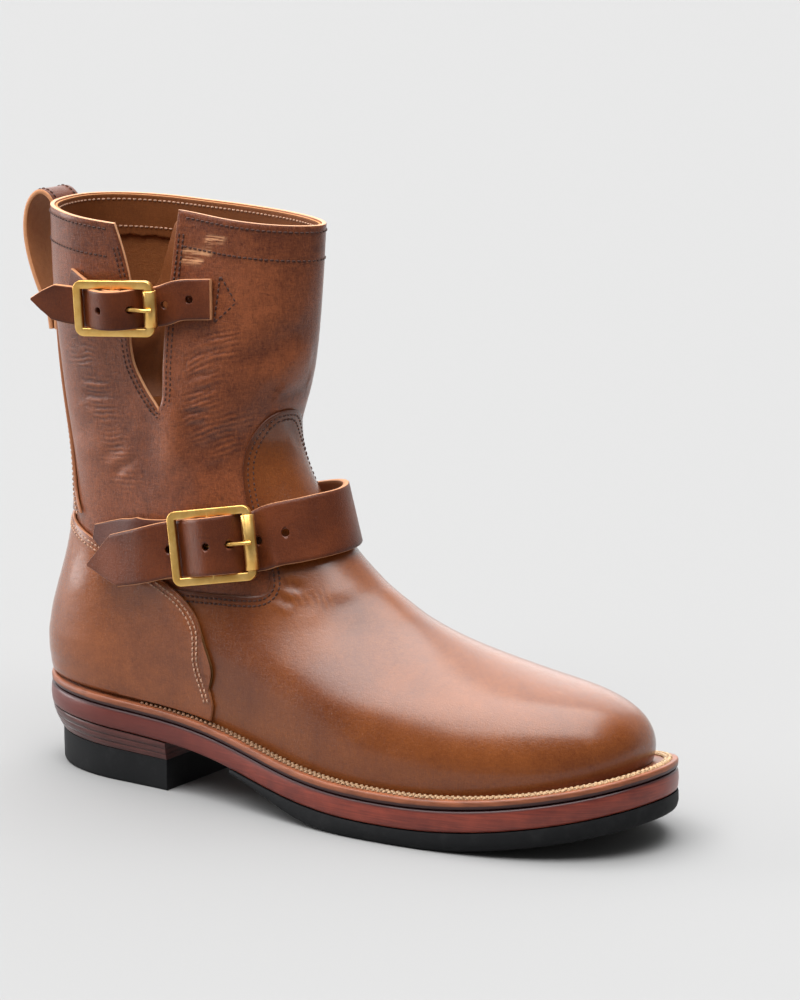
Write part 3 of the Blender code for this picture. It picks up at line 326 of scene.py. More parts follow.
def relief(points, creases):
    """Height of the creases at each point: for each crease the distance to its line, a bell-shaped
    trough with half-high shoulders beside it, and a taper towards both ends."""
    height = np.zeros(points.shape[:-1])
    for crease in creases:
        t = CREASE_SAMPLES
        angle = crease.angle + (crease.to_angle - crease.angle) * t
        z = crease.z + (crease.to_z - crease.z) * t + crease.bow * 4 * t * (1 - t)
        line = upper_surface(angle, level_at(angle, z))
        middle = line[len(line) // 2]
        reach = np.linalg.norm(line - middle, axis=1).max() + 4 * crease.width
        near = np.linalg.norm(points - middle, axis=-1) < reach
        spot = points[near][:, None, :]
        run = np.diff(line, axis=0)
        share = np.clip(np.sum((spot - line[:-1]) * run, -1) / np.sum(run * run, -1), 0.0, 1.0)
        gap = np.linalg.norm(spot - line[:-1] - run * share[..., None], axis=-1)
        best = np.argmin(gap, axis=1)
        pick = np.arange(len(best))
        q = gap[pick, best] / crease.width
        along = (best + share[pick, best]) / len(run)
        taper = smoothstep(along / 0.3) * smoothstep((1 - along) / 0.3)
        shape = 0.4 * bell((q - 1.9) / 0.8) - bell(q)
        height[near] += crease.depth * taper * shape
    return height


def soft_waves(points, size, height):
    """A slow swell over the leather: a few crossed sine waves of one wavelength."""
    x, y, z = points[..., 0] / size, points[..., 1] / size, points[..., 2] / size
    first = np.sin(2 * np.pi * (0.9 * x + 0.5 * z) + 1.3 * np.sin(2 * np.pi * 0.4 * y))
    second = np.sin(2 * np.pi * (0.4 * y - 0.8 * z) + 0.7 + 1.1 * np.sin(2 * np.pi * 0.5 * x))
    return height * (first + second) / 2


class Shade:
    """A socket in a node tree. Operators on it add Math nodes, and node() adds any other kind."""

    def __init__(self, tree, socket=None):
        self.tree = tree
        self.socket = socket

    def node(self, kind, inputs=None, output=0, stops=None, **settings):
        made = self.tree.nodes.new(kind)
        for name, value in settings.items():
            setattr(made, name, value)
        for i, (place, colour) in enumerate(stops or []):
            stop = made.color_ramp.elements[i] if i < 2 else made.color_ramp.elements.new(place)
            stop.position, stop.color = place, colour
        for name, value in (inputs or {}).items():
            if isinstance(value, Shade):
                self.tree.links.new(value.socket, made.inputs[name])
            else:
                made.inputs[name].default_value = value
        return Shade(self.tree, made.outputs[output])

    def math(self, operation, first, second=0.0):
        return self.node("ShaderNodeMath", {0: first, 1: second}, operation=operation)

    def __add__(self, other):
        return self.math("ADD", self, other)

    def __sub__(self, other):
        return self.math("SUBTRACT", self, other)

    def __rsub__(self, other):
        return self.math("SUBTRACT", other, self)

    def __mul__(self, other):
        return self.math("MULTIPLY", self, other)

    def __abs__(self):
        return self.math("ABSOLUTE", self)

    __radd__ = __add__
    __rmul__ = __mul__

    def between(self, low, high):
        """0 below the first limit, 1 above the second and a smooth step between them."""
        sockets = {0: self, 1: low, 2: high, 3: 0.0, 4: 1.0}
        return self.node("ShaderNodeMapRange", sockets, interpolation_type="SMOOTHSTEP")

    def mix(self, low, high):
        """A colour between two colours, with this socket as the share."""
        return self.node("ShaderNodeMix", {0: self, 6: low, 7: high}, output=2, data_type="RGBA")

    def noise(self, where, scale, detail=3.0, rough=0.55, warp=0.0):
        """Cloudy noise from 0 to 1 at the given coordinates."""
        sockets = {"Vector": where, "Scale": scale, "Detail": detail, "Roughness": rough}
        return self.node("ShaderNodeTexNoise", {**sockets, "Distortion": warp})

    def stretched(self, where, scale):
        """Coordinates scaled by a different amount along each axis."""
        return self.node("ShaderNodeMapping", {"Vector": where, "Scale": scale})

    def attribute(self, name):
        """A value that the mesh keeps at each point, and 0 where it keeps none."""
        return self.node("ShaderNodeAttribute", output="Fac", attribute_name=name)

    def bump(self, strength, depth, height):
        """Fine relief, as deep as a number of millimetres."""
        sockets = {"Strength": strength, "Distance": depth * MM, "Height": height}
        return self.node("ShaderNodeBump", sockets)


def finish(name, rough, metallic=0.0, coat=0.0, coat_rough=0.3):
    """An empty material: its shader, and a Shade to build on, with the object's coordinates."""
    made = bpy.data.materials.new(name)
    made.use_nodes = True
    shader = made.node_tree.nodes["Principled BSDF"]
    shader.inputs["Roughness"].default_value = rough
    shader.inputs["Metallic"].default_value = metallic
    shader.inputs["Coat Weight"].default_value = coat
    shader.inputs["Coat Roughness"].default_value = coat_rough
    start = Shade(made.node_tree)
    return made, shader, start, start.node("ShaderNodeTexCoord", output="Object")


def join(shader, name, value):
    """Link a value to one of the shader's sockets."""
    value.tree.links.new(value.socket, shader.inputs[name])


def darker(colour, share):
    """A colour with each of its parts lowered to a share."""
    return tuple(share * part for part in colour[:3]) + (1.0,)


LeatherLook = namedtuple("LeatherLook", "light dark raw flesh rough coat grain")
CRINKLE_PERIOD = 2.4


def leather(name, look):
    """Oiled leather: slow mottling and short crossing fibres between a light and a dark tone, painted
    highlight on ridges and painted shade in troughs, wavy crinkles where it bends with painted shade in
    their troughs, rubbed streaks, a raw cut edge and a matt flesh side. The same fibres and crinkles
    make its bump and change its gloss."""
    made, shader, start, where = finish(name, look.rough, coat=look.coat, coat_rough=0.13)
    shader.inputs["Specular IOR Level"].default_value = 0.34
    mottle = start.noise(where, 42.0, 5.0, 0.62, 0.6)
    blotch = start.noise(where, 160.0, 4.0, 0.6, 0.8)
    fibre = start.noise(start.stretched(where, (1100.0, 1100.0, 280.0)), 1.0, 4.0, 0.68, 1.8)
    cross = start.noise(start.stretched(where, (260.0, 260.0, 1000.0)), 1.0, 3.0, 0.65, 1.4)
    pores = start.noise(where, 1500.0, 2.0, 0.5)
    tone, raw, flesh = start.attribute("tone"), start.attribute("raw"), start.attribute("flesh")
    drift = start.noise(where, 60.0, 3.0, 0.5)
    wave = start.math("SINE", start.attribute("pleat") * (2 * math.pi / CRINKLE_PERIOD) + drift * 16.0)
    fold = wave * start.attribute("crinkle") * start.noise(where, 130.0, 2.0).between(0.34, 0.6)
    rub_streak = start.noise(start.stretched(where, (110.0, 110.0, 1300.0)), 1.0, 3.0, 0.7)
    rub = start.attribute("rub") * rub_streak.between(0.40, 0.56)
    share = 0.5 + (mottle - 0.5) * 0.5 + (blotch - 0.5) * (look.grain * 1.6) + (pores - 0.5) * 0.25
    share = share + (fibre - 0.5) * (look.grain * 5.0) + (cross - 0.5) * (look.grain * 3.2)
    # Painted light and shade: on the shaft and vamp the piece's tone lightens crease ridges and darkens
    # their troughs, and the crinkle wave lightens its crests and darkens its troughs. The same wave is
    # real relief in the bump.
    share = (share + tone * 0.55 + fold * 0.20).between(0.05, 0.95)
    colour = share.mix(look.dark, look.light)
    colour = rub.mix(colour, look.raw)
    nap = start.noise(where, 420.0, 4.0, 0.7)
    colour = flesh.mix(colour, nap.mix(darker(look.flesh, 0.55), look.flesh))
    colour = raw.between(0.3, 0.8).mix(colour, nap.mix(darker(look.raw, 0.6), look.raw))
    join(shader, "Base Color", colour)
    worn = look.rough + (mottle - 0.5) * 0.14 + (fibre - 0.5) * 0.2
    join(shader, "Roughness", worn + flesh * 0.35 + raw * 0.35 + rub * 0.2)
    height = fibre * 1.5 + cross * 0.9 + pores * 0.4 + blotch * 0.6 + fold * 0.55
    join(shader, "Normal", start.bump(0.75, look.grain, height + (flesh + raw) * nap * 2.0))
    return made


Sheet = namedtuple("Sheet", "points faces tags")


def plain_mesh(name, sheet):
    """A mesh from a sheet's points, in millimetres of the boot's frame, with its normals turned
    outwards and one value per point for each tag."""
    points, faces, tags = sheet
    used = np.unique(np.concatenate([np.ravel(part) for part in faces]))
    renamed = np.zeros(len(points), int)
    renamed[used] = np.arange(len(used))
    mesh = bpy.data.meshes.new(name)
    listed = [face for part in faces for face in renamed[np.asarray(part)].tolist()]
    mesh.from_pydata(((points[used] - ORIGIN) * MM).tolist(), [], listed)
    mesh.validate()
    work = bmesh.new()
    work.from_mesh(mesh)
    bmesh.ops.recalc_face_normals(work, faces=work.faces)
    work.to_mesh(mesh)
    work.free()
    for tag, values in tags.items():
        layer = mesh.attributes.new(tag, "FLOAT", "POINT")
        layer.data.foreach_set("value", np.asarray(values, np.float32)[used])
    mesh.shade_smooth()
    mesh.set_sharp_from_angle(angle=math.radians(48))
    return mesh


def cut_away(made, sheet):
    """Take a solid out of a piece and keep the result as the piece's own mesh."""
    cutter = bpy.data.objects.new("cutter", plain_mesh("cutter", sheet))
    bpy.context.scene.collection.objects.link(cutter)
    step = made.modifiers.new("cut", "BOOLEAN")
    step.object, step.operation, step.solver = cutter, "DIFFERENCE", "EXACT"
    bpy.context.view_layer.update()
    state = bpy.context.evaluated_depsgraph_get()
    result = bpy.data.meshes.new_from_object(made.evaluated_get(state))
    made.modifiers.clear()
    made.data = result
    bpy.data.objects.remove(cutter)


def add_piece(name, sheet, material, replaces=(), cut=None):
    """A closed piece with its material, riding on the boot's only body."""
    mesh = plain_mesh(name, sheet)
    mesh.materials.append(material)
    made = bpy.data.objects.new(name, mesh)
    bpy.context.scene.collection.objects.link(made)
    if cut:
        cut_away(made, cut)
    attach(made, "root")
    if replaces:
        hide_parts(*replaces)
    return made


def grid_quads(index):
    """Faces with four corners between neighbouring rows and columns of point numbers."""
    corners = [index[:-1, :-1], index[:-1, 1:], index[1:, 1:], index[1:, :-1]]
    return np.stack(corners, -1).reshape(-1, 4)


RIM_TURN = np.radians([52.0, 0.0, -52.0])


def wall(outer, inner, bulge, wrap=False, split_from=None, tags=None):
    """A sheet of leather between two equal grids, with a rounded cut edge along its border. A wrapped
    grid closes on itself. With split_from, the first and last columns are joined up to that row and
    open above it. Returns points, faces and tags."""
    rows, cols = outer.shape[:2]
    count = rows * cols
    index = np.arange(count).reshape(rows, cols)
    middle = (outer + inner) / 2
    out = np.zeros_like(middle)
    out[-1] += unit(middle[-1] - middle[-2])
    if wrap:
        out[0] += unit(middle[0] - middle[1])
        chains = [index[-1], index[0]]
        index = np.concatenate([index, index[:, :1]], axis=1)
    elif split_from is not None:
        index[: split_from + 1, -1] = index[: split_from + 1, 0]
        above = slice(split_from + 1, None)
        out[above, 0] += unit(middle[above, 0] - middle[above, 1])
        out[above, -1] += unit(middle[above, -1] - middle[above, -2])
        side = index[above, -1][:-1][::-1]
        chains = [np.concatenate([index[split_from:, 0], index[-1, 1:], side]), index[0, :-1]]
    else:
        out[0] += unit(middle[0] - middle[1])
        out[:, 0] += unit(middle[:, 0] - middle[:, 1])
        out[:, -1] += unit(middle[:, -1] - middle[:, -2])
        chains = [np.concatenate([index[0, :-1], index[:-1, -1], index[-1, :0:-1], index[:0:-1, 0]])]
    length = np.linalg.norm(out, axis=-1, keepdims=True)
    out = np.where(length > 1e-6, out / np.maximum(length, 1e-6), 0.0)
    flat_outer, flat_inner, flat_out = outer.reshape(-1, 3), inner.reshape(-1, 3), out.reshape(-1, 3)
    points = [flat_outer, flat_inner]
    faces = [grid_quads(index), grid_quads(index)[:, ::-1] + count]
    spread = {name: [np.ravel(values), np.zeros(count)] for name, values in (tags or {}).items()}
    raw = [np.zeros(2 * count)]
    flesh = [np.zeros(count), np.ones(count)]
    start = 2 * count
    for chain in chains:
        half = (flat_outer[chain] - flat_inner[chain]) / 2
        centre = (flat_outer[chain] + flat_inner[chain]) / 2
        layers = [centre + half * math.sin(t) + flat_out[chain] * bulge * math.cos(t) for t in RIM_TURN]
        size = len(chain)
        rim = start + np.arange(size * len(layers)).reshape(len(layers), size)
        band = np.concatenate([chain[None], rim, chain[None] + count])
        faces.append(grid_quads(np.concatenate([band, band[:, :1]], axis=1)))
        points.extend(layers)
        raw.append(np.ones(size * len(layers)))
        flesh.append(np.zeros(size * len(layers)))
        for name in spread:
            spread[name].append(np.zeros(size * len(layers)))
        start += size * len(layers)
    found = {name: np.concatenate(values) for name, values in spread.items()}
    found["raw"] = np.concatenate(raw)
    found["flesh"] = np.concatenate(flesh)
    return Sheet(np.concatenate(points), faces, found)


# The vamp covers the shaft below this edge: a round tab up the front, a rounded corner below the
# strap, then level towards the heel.
Seam = namedtuple("Seam", "angle z")
VAMP_EDGE = [
    Seam(0, 166.0), Seam(10, 165.0), Seam(18, 161.5), Seam(25, 154.5), Seam(31, 145.0),
    Seam(36, 133.0), Seam(40, 120.0), Seam(44, 106.0), Seam(48, 97.0), Seam(53, 92.0),
    Seam(60, 89.6), Seam(75, 89.0), Seam(95, 88.0), Seam(125, 80.0), Seam(155, 68.0), Seam(180, 62.0),
]
TAB_SHIFT = 10.0
vamp_edge_line = monotone_spline(column(VAMP_EDGE, "angle"), column(VAMP_EDGE, "z"))


def vamp_edge(angle):
    """Height of the vamp's edge at an angle. The tab leans to the outer side."""
    signed = (np.asarray(angle, float) + 180.0) % 360.0 - 180.0
    lean = TAB_SHIFT * (1 - smoothstep(np.abs(signed) / 70.0))
    return vamp_edge_line(np.abs(signed - lean))


def slit_angles(level):
    """The angles of the slit's front and rear edges at each level: where the surface, seen from the
    side, crosses each edge's line."""
    angles = np.linspace(30.0, 140.0, 441)
    points = upper_surface(angles[None, :], level[:, None])
    found = []
    for edge in (slit_front, slit_rear):
        past = points[..., 0] - edge(points[..., 2])
        hit = np.argmax(past < 0, axis=1)
        rows = np.arange(len(level))
        before, after = past[rows, hit - 1], past[rows, hit]
        found.append(angles[hit - 1] + (angles[hit] - angles[hit - 1]) * before / (before - after))
    return found


SHAFT_COLUMNS = 260
shaft_levels = np.concatenate([np.linspace(0.0, 0.45, 16, endpoint=False), np.linspace(0.45, 1.0, 166)])
front_angle, rear_angle = slit_angles(shaft_levels)
slit_start = int(np.nonzero(rear_angle - front_angle < 1e-3)[0][-1])
across = np.linspace(0.0, 1.0, SHAFT_COLUMNS)[None, :]
shaft_angle = front_angle[:, None] + (rear_angle - 360.0 - front_angle)[:, None] * across
shaft_level = np.broadcast_to(shaft_levels[:, None], shaft_angle.shape)
shaft_points = upper_surface(shaft_angle, shaft_level)
# The shaft is free to crease above the vamp's edge and below the sewn collar.
free = smoothstep((shaft_points[..., 2] - vamp_edge(shaft_angle) - 1.0) / 7.0)
free = free * smoothstep((COLLAR_Z - 8.0 - shaft_points[..., 2]) / 20.0)
shaft_relief = (relief(shaft_points, SHAFT_CREASES) + soft_waves(shaft_points, 62.0, 0.45)) * free


def spots(points, places, reach):
    """A soft round mask about each place (angle, z) on the upper."""
    mask = np.zeros(points.shape[:-1])
    for angle, z in places:
        here = surface_point(angle, z)[0]
        mask = np.maximum(mask, smoothstep(1.2 - np.linalg.norm(points - here, axis=-1) / reach))
    return mask


collar_drop = upper_surface(shaft_angle[-1], shaft_level[-1])[None, :, 2] - shaft_points[..., 2]
# Painted light and shade: the shaft's tone is lighter on crease ridges and darker in crease troughs,
# following the relief. It is also darker over a band about 15 mm deep below the collar's top.
shaft_tone_and_shade = 0.28 * np.clip(shaft_relief, -0.9, 0.9) - 0.20 * np.exp(-((collar_drop / 15.0) ** 6))
CRINKLED = [
    (64.0, 184.0), (63.0, 170.0), (60.0, 160.0), (56.0, 194.0), (122.0, 186.0), (117.0, 172.0),
    (114.0, 164.0), (108.0, 145.0), (100.0, 138.0), (48.0, 154.0), (40.0, 160.0), (-60.0, 190.0),
    (-68.0, 168.0), (-116.0, 158.0),
]
shaft_crinkle = spots(shaft_points, CRINKLED, 11.0) * free
Scuff = namedtuple("Scuff", "angle to_angle z")
SCUFFS = [Scuff(68.5, 62.0, 238.4), Scuff(77.0, 67.2, 232.9), Scuff(77.5, 70.8, 229.0)]
rubbed = [(angle, scuff.z) for scuff in SCUFFS for angle in np.linspace(scuff.angle, scuff.to_angle, 7)]
shaft_rub = spots(shaft_points, rubbed, 1.7)
slit_side = shaft_points[..., 0] - SLIT[0].front_x
shaft_pleat = shaft_points[..., 2] - 0.34 * np.maximum(slit_side, 0.0) - 0.10 * np.minimum(slit_side, 0.0)
SHAFT_LOOK = LeatherLook(
    light=(0.315, 0.088, 0.029, 1.0), dark=(0.082, 0.017, 0.006, 1.0), raw=(0.80, 0.40, 0.20, 1.0),
    flesh=(0.33, 0.103, 0.025, 1.0), rough=0.34, coat=0.24, grain=0.20,
)
shaft_leather = leather("shaft_leather", SHAFT_LOOK)
add_piece(
    "upper_shaft",
    wall(
        upper_at(shaft_angle, shaft_level, shaft_relief),
        upper_at(shaft_angle, shaft_level, shaft_relief - SHAFT_WALL),
        0.35,
        split_from=slit_start,
        tags={"tone": shaft_tone_and_shade, "rub": shaft_rub, "crinkle": shaft_crinkle, "pleat": shaft_pleat},
    ),
    shaft_leather,
    replaces=["upper"],
)

# Shaft seams. Dark waxed thread holds the folded collar in two rows and runs twice along each edge of
# the slit and round a corner patch beside each flap. Each stitch is a short rod that dips into the
# leather at both ends.

STITCH_ALONG = np.array([-0.5, -0.43, -0.22, 0.22, 0.43, 0.5])
STITCH_SIZE = np.array([0.3, 0.8, 1.0, 1.0, 0.8, 0.3])
STITCH_DIP = np.array([-1.1, -0.45, 0.15, 0.15, -0.45, -1.1])
STITCH_SIDES = 6
STITCH_FILL = 0.84
UPPER_PITCH, UPPER_THREAD, THREAD_LIFT = 2.3, 0.40, 0.1
COLLAR_SEAMS, SLIT_SEAMS = (2.6, 14.5), (1.6, 3.6)


def beside(angle, level, distance):
    """A line on the upper moved sideways, to the right of its run when positive: the step across it,
    solved for angle and level from the surface's two slopes."""
    by_angle, by_level = upper_slopes(angle, level)
    ahead = unit(np.gradient(upper_surface(angle, level), axis=0))
    step = unit(np.cross(upper_normal(angle, level), ahead)) * distance
    aa, bb = np.sum(by_angle**2, -1), np.sum(by_level**2, -1)
    ab = np.sum(by_angle * by_level, -1)
    sa, sb = np.sum(by_angle * step, -1), np.sum(by_level * step, -1)
    spread = aa * bb - ab * ab
    return angle + (sa * bb - sb * ab) / spread, np.clip(level + (sb * aa - sa * ab) / spread, 0.0, 1.0)


def on_upper(angle, level, offset):
    """A seam line: its points at an offset from the upper, and the directions out of the leather."""
    return upper_at(angle, level, offset), upper_normal(angle, level)


def run_along(line):
    """The distance along a line of points from its first point to each."""
    return np.concatenate([[0.0], np.cumsum(np.linalg.norm(np.diff(line, axis=0), axis=1))])


def sample(at, run, values):
    """Values that are known along a run, read at other places on it, column by column."""
    return np.column_stack([np.interp(at, run, part) for part in values.T])


def full_turn(count):
    """Angles in even steps round a circle."""
    return np.arange(count) * 2 * np.pi / count


def thread_rows(rows, pitch, radius, slant=0.0):
    """Stitches along lines of points and normals: each is a rod through six rings, thick in the middle
    and sunk at its ends, turned by a slant in degrees. The tone runs from 0 to 1 along each line."""
    points, tones = [], []
    turn = full_turn(STITCH_SIDES)
    for line, normal in rows:
        run = run_along(line)
        count = max(int(run[-1] / pitch), 1)
        at = (np.arange(count) + 0.5) * run[-1] / count
        centre, up = sample(at, run, line), unit(sample(at, run, normal))
        ahead = unit(sample(at, run, np.gradient(line, axis=0)))
        ahead = unit(ahead - up * np.sum(ahead * up, -1, keepdims=True))
        side = np.cross(up, ahead)
        cosine, sine = math.cos(math.radians(slant)), math.sin(math.radians(slant))
        ahead, side = ahead * cosine + side * sine, side * cosine - ahead * sine
        along = (STITCH_ALONG * pitch * STITCH_FILL)[None, :, None, None]
        wide = (STITCH_SIZE[:, None] * np.cos(turn) * radius)[None, :, :, None]
        high = STITCH_SIZE[:, None] * np.sin(turn) * radius * 0.85 + STITCH_DIP[:, None] * radius
        high = high[None, :, :, None]
        axes = [part[:, None, None, :] for part in (centre, ahead, side, up)]
        points.append((axes[0] + axes[1] * along + axes[2] * wide + axes[3] * high).reshape(-1, 3))
        tones.append(np.repeat(at / run[-1], len(STITCH_ALONG) * STITCH_SIDES))
    points = np.concatenate(points)
    size = len(STITCH_ALONG) * STITCH_SIDES
    first = np.arange(len(points) // size)[:, None] * size
    ring = np.arange(size).reshape(-1, STITCH_SIDES)
    quads = grid_quads(np.concatenate([ring, ring[:, :1]], axis=1))
    faces = [(first[:, :, None] + quads[None]).reshape(-1, 4), first + ring[0], first + ring[-1]]
    return Sheet(points, faces, {"tone": np.concatenate(tones)})


def thread(name, colour, far_colour=None):
    """Waxed thread: a fine twist between the colour and a darker one, the darker share painted shade
    between its plies, and with a far colour a slow change along the line."""
    made, shader, start, where = finish(name, 0.5)
    shader.inputs["Specular IOR Level"].default_value = 0.25
    base = colour
    if far_colour:
        base = start.attribute("tone").mix(colour, far_colour)
    # Painted shade: the darker share of the twist stands in for shade between the thread's plies.
    twist = start.noise(where, 1600.0, 2.0, 0.6).between(0.25, 0.6)
    join(shader, "Base Color", twist.mix(darker(colour, 0.25), base))
    return made


def add_seam(name, rows, material):
    """A piece made of the upper's stitches along some lines."""
    add_piece(name, thread_rows(rows, UPPER_PITCH, UPPER_THREAD), material)


dark_thread = thread("dark_thread", (0.085, 0.036, 0.026, 1.0))
collar_angles = np.linspace(front_angle[-1] - 3.0, rear_angle[-1] - 357.0, 300)
collar_top = upper_surface(collar_angles, 1.0)[:, 2]
shaft_seam_rows = []
for drop in COLLAR_SEAMS:
    collar_level = level_at(collar_angles, collar_top - drop)
    shaft_seam_rows.append(on_upper(collar_angles, collar_level, THREAD_LIFT))
open_part = slice(slit_start, len(shaft_levels) - 5)
round_angle = np.concatenate([rear_angle[open_part][::-1], front_angle[open_part][1:]])
round_level = np.concatenate([shaft_levels[open_part][::-1], shaft_levels[open_part][1:]])
for distance in SLIT_SEAMS:
    shaft_seam_rows.append(on_upper(*beside(round_angle, round_level, -distance), THREAD_LIFT))
SEWN_CORNERS = [
    [Seam(61.2, 223.5), Seam(52.8, 212.7), Seam(61.8, 203.9)],
    [Seam(116.0, 223.5), Seam(128.0, 212.0), Seam(116.5, 201.0)],
]
side_share = np.linspace(0.0, 1.0, 30)
for corners in SEWN_CORNERS:
    for first, last in zip(corners, corners[1:] + corners[:1]):
        line_angle = first.angle + (last.angle - first.angle) * side_share
        line_z = first.z + (last.z - first.z) * side_share
        shaft_seam_rows.append(on_upper(line_angle, level_at(line_angle, line_z), THREAD_LIFT))
add_seam("shaft_stitches", shaft_seam_rows, dark_thread)

# Vamp. The front of the boot is one piece of warm tan leather laid over the shaft, with a round tab up
# the instep. Its edge is burnished dark and held by two rows of dark thread.

VAMP_STEP = 1.2
VAMP_ROWS = 126
VAMP_SEAMS = (2.0, 4.3)
VAMP_CREASES = [
    Crease(43.0, 102.4, 31.0, 104.8, 0.5, 0.40, 2.2),
    Crease(48.0, 94.6, 39.5, 93.4, 0.5, 0.36, 2.0),
    Crease(52.5, 91.3, 48.5, 87.0, 0.0, 0.30, 2.0),
    Crease(10.0, 163.8, -10.5, 146.4, 0.0, 0.35, 2.4),
    Crease(23.0, 93.6, 37.5, 74.1, 0.0, 0.80, 9.0),
    Crease(-28.0, 95.0, -42.0, 74.0, 0.0, 0.70, 9.0),
    Crease(-38.0, 106.0, -26.0, 108.0, 0.5, 0.40, 2.4),
]
VAMP_LOOK = LeatherLook(
    light=(0.25, 0.069, 0.013, 1.0), dark=(0.100, 0.022, 0.004, 1.0), raw=(0.12, 0.036, 0.018, 1.0),
    flesh=(0.33, 0.145, 0.05, 1.0), rough=0.23, coat=0.36, grain=0.10,
)
vamp_leather = leather("vamp_leather", VAMP_LOOK)
vamp_angles = np.concatenate([np.arange(-62.0, 74.0, 0.62), np.arange(74.0, 298.0, 2.0)])
vamp_seam = level_at(vamp_angles, vamp_edge(vamp_angles))
vamp_level = vamp_seam * (np.linspace(0.0, 1.0, VAMP_ROWS) ** 0.9)[:, None]
vamp_angle = np.broadcast_to(vamp_angles, vamp_level.shape)
vamp_points = upper_surface(vamp_angle, vamp_level)


def edge_distance(points, line):
    """Distance from each point to the nearest point of a line."""
    nearest = np.full(points.shape[:-1], np.inf)
    for spot in line:
        nearest = np.minimum(nearest, np.linalg.norm(points - spot, axis=-1))
    return nearest


vamp_relief = relief(vamp_points, VAMP_CREASES) + soft_waves(vamp_points, 70.0, 0.22)
vamp_relief = vamp_relief * smoothstep(vamp_level / 0.12)
vamp_border = edge_distance(vamp_points, vamp_points[-1])
# Painted light and shade: the vamp's tone is lighter on crease ridges and darker in crease troughs,
# following the relief, and painted shade darkens two soft spots low on its outer side towards the waist.
# It is also darker towards its edge.
VAMP_SHADED = [(88.0, 62.0), (72.0, 56.0)]
vamp_tone_and_shade = 0.5 * vamp_relief - 0.42 * spots(vamp_points, VAMP_SHADED, 26.0)
vamp_tone_and_shade = vamp_tone_and_shade - 0.75 * bell(vamp_border / 1.6) - 0.12 * bell(vamp_border / 9.0)
VAMP_CRINKLED = [(49.0, 97.0), (45.0, 91.5), (46.0, 86.0), (53.0, 84.0), (37.0, 90.0)]
vamp_crinkle = 0.6 * spots(vamp_points, VAMP_CRINKLED, 8.0)
vamp_pleat = 0.77 * vamp_points[..., 0] + 0.64 * vamp_points[..., 2]
add_piece(
    "vamp_panel",
    wall(
        upper_at(vamp_angle, vamp_level, VAMP_STEP + np.maximum(vamp_relief, -0.8)),
        upper_at(vamp_angle, vamp_level, 0.15),
        0.25,
        wrap=True,
        tags={"tone": vamp_tone_and_shade, "crinkle": vamp_crinkle, "pleat": vamp_pleat},
    ),
    vamp_leather,
    replaces=["upper"],
)
seam_angles = np.arange(-96.0, 100.0, 0.4)
seam_level = level_at(seam_angles, vamp_edge(seam_angles))
vamp_seam_rows = [on_upper(*beside(seam_angles, seam_level, d), VAMP_STEP) for d in VAMP_SEAMS]
add_seam("vamp_stitches", vamp_seam_rows, dark_thread)

# Counter. A cup of tan leather over the heel, laid on the vamp and the shaft. Its cut edge is light and
# two rows of pale thread follow it.

COUNTER_THICK = 1.4
COUNTER_SEAMS = (1.8, 3.9)
WELT_THICK, FOOT_GAP = 3.8, 0.5
CounterEdge = namedtuple("CounterEdge", "foot_angle top_angle top_z")
COUNTER_EDGE = [
    CounterEdge(107.0, 105.6, 41.5), CounterEdge(109.5, 102.2, 55.5), CounterEdge(112.5, 91.4, 67.0),
    CounterEdge(116.0, 84.6, 77.5), CounterEdge(121.0, 86.0, 88.0), CounterEdge(129.0, 99.0, 97.0),
    CounterEdge(140.0, 122.0, 105.0), CounterEdge(153.0, 143.0, 110.0), CounterEdge(167.0, 163.0, 112.4),
    CounterEdge(180.0, 180.0, 113.0),
]
counter_spread = np.linspace(0.0, 1.0, len(COUNTER_EDGE))
counter_foot = monotone_spline(counter_spread, column(COUNTER_EDGE, "foot_angle"))
counter_top = natural_spline(counter_spread, column(COUNTER_EDGE, "top_angle"))
counter_height = monotone_spline(counter_spread, column(COUNTER_EDGE, "top_z"))
counter_half = np.linspace(0.0, 1.0, 90)
counter_share = np.concatenate([counter_half, counter_half[-2::-1]])
inner_side = np.arange(len(counter_share)) >= len(counter_half)
foot_angle = np.where(inner_side, 360.0 - counter_foot(counter_share), counter_foot(counter_share))
top_angle = np.where(inner_side, 360.0 - counter_top(counter_share), counter_top(counter_share))
top_level = level_at(top_angle, counter_height(counter_share))
foot_z = upper_surface(foot_angle, 0.0)[:, 2] + WELT_THICK + 2.6
foot_level = level_at(foot_angle, foot_z)
counter_seam = level_at(top_angle, vamp_edge(top_angle))


def counter_rest(level, seam, top):
    """How far the counter stands off the shaft: the vamp's thickness below the vamp's edge, falling
    smoothly to the shaft towards the counter's own edge."""
    over = 1 - smoothstep((level - seam - 0.004) / np.maximum(top - seam, 0.05))
    return VAMP_STEP * np.clip(over, 0.0, 1.0) + 0.3


up_share = np.linspace(0.0, 1.0, 46)[:, None]
counter_angle = foot_angle + (top_angle - foot_angle) * up_share
counter_level = foot_level + (top_level - foot_level) * up_share
counter_off = counter_rest(counter_level, counter_seam, top_level)
counter_points = upper_surface(counter_angle, counter_level)
counter_relief = soft_waves(counter_points, 55.0, 0.2)
counter_border = edge_distance(counter_points, counter_points[-1])
counter_tone = 0.5 * counter_relief - 0.35 * bell(counter_border / 1.4)
COUNTER_LOOK = VAMP_LOOK._replace(raw=(0.46, 0.175, 0.075, 1.0), light=(0.32, 0.089, 0.021, 1.0))
counter_leather = leather("counter_leather", COUNTER_LOOK)
add_piece(
    "counter_panel",
    wall(
        upper_at(counter_angle, counter_level, counter_off + COUNTER_THICK + counter_relief),
        upper_at(counter_angle, counter_level, counter_off),
        0.3,
        tags={"tone": counter_tone},
    ),
    counter_leather,
    replaces=["counter"],
)
pale_thread = thread("pale_thread", (0.56, 0.32, 0.21, 1.0))
counter_rows = []
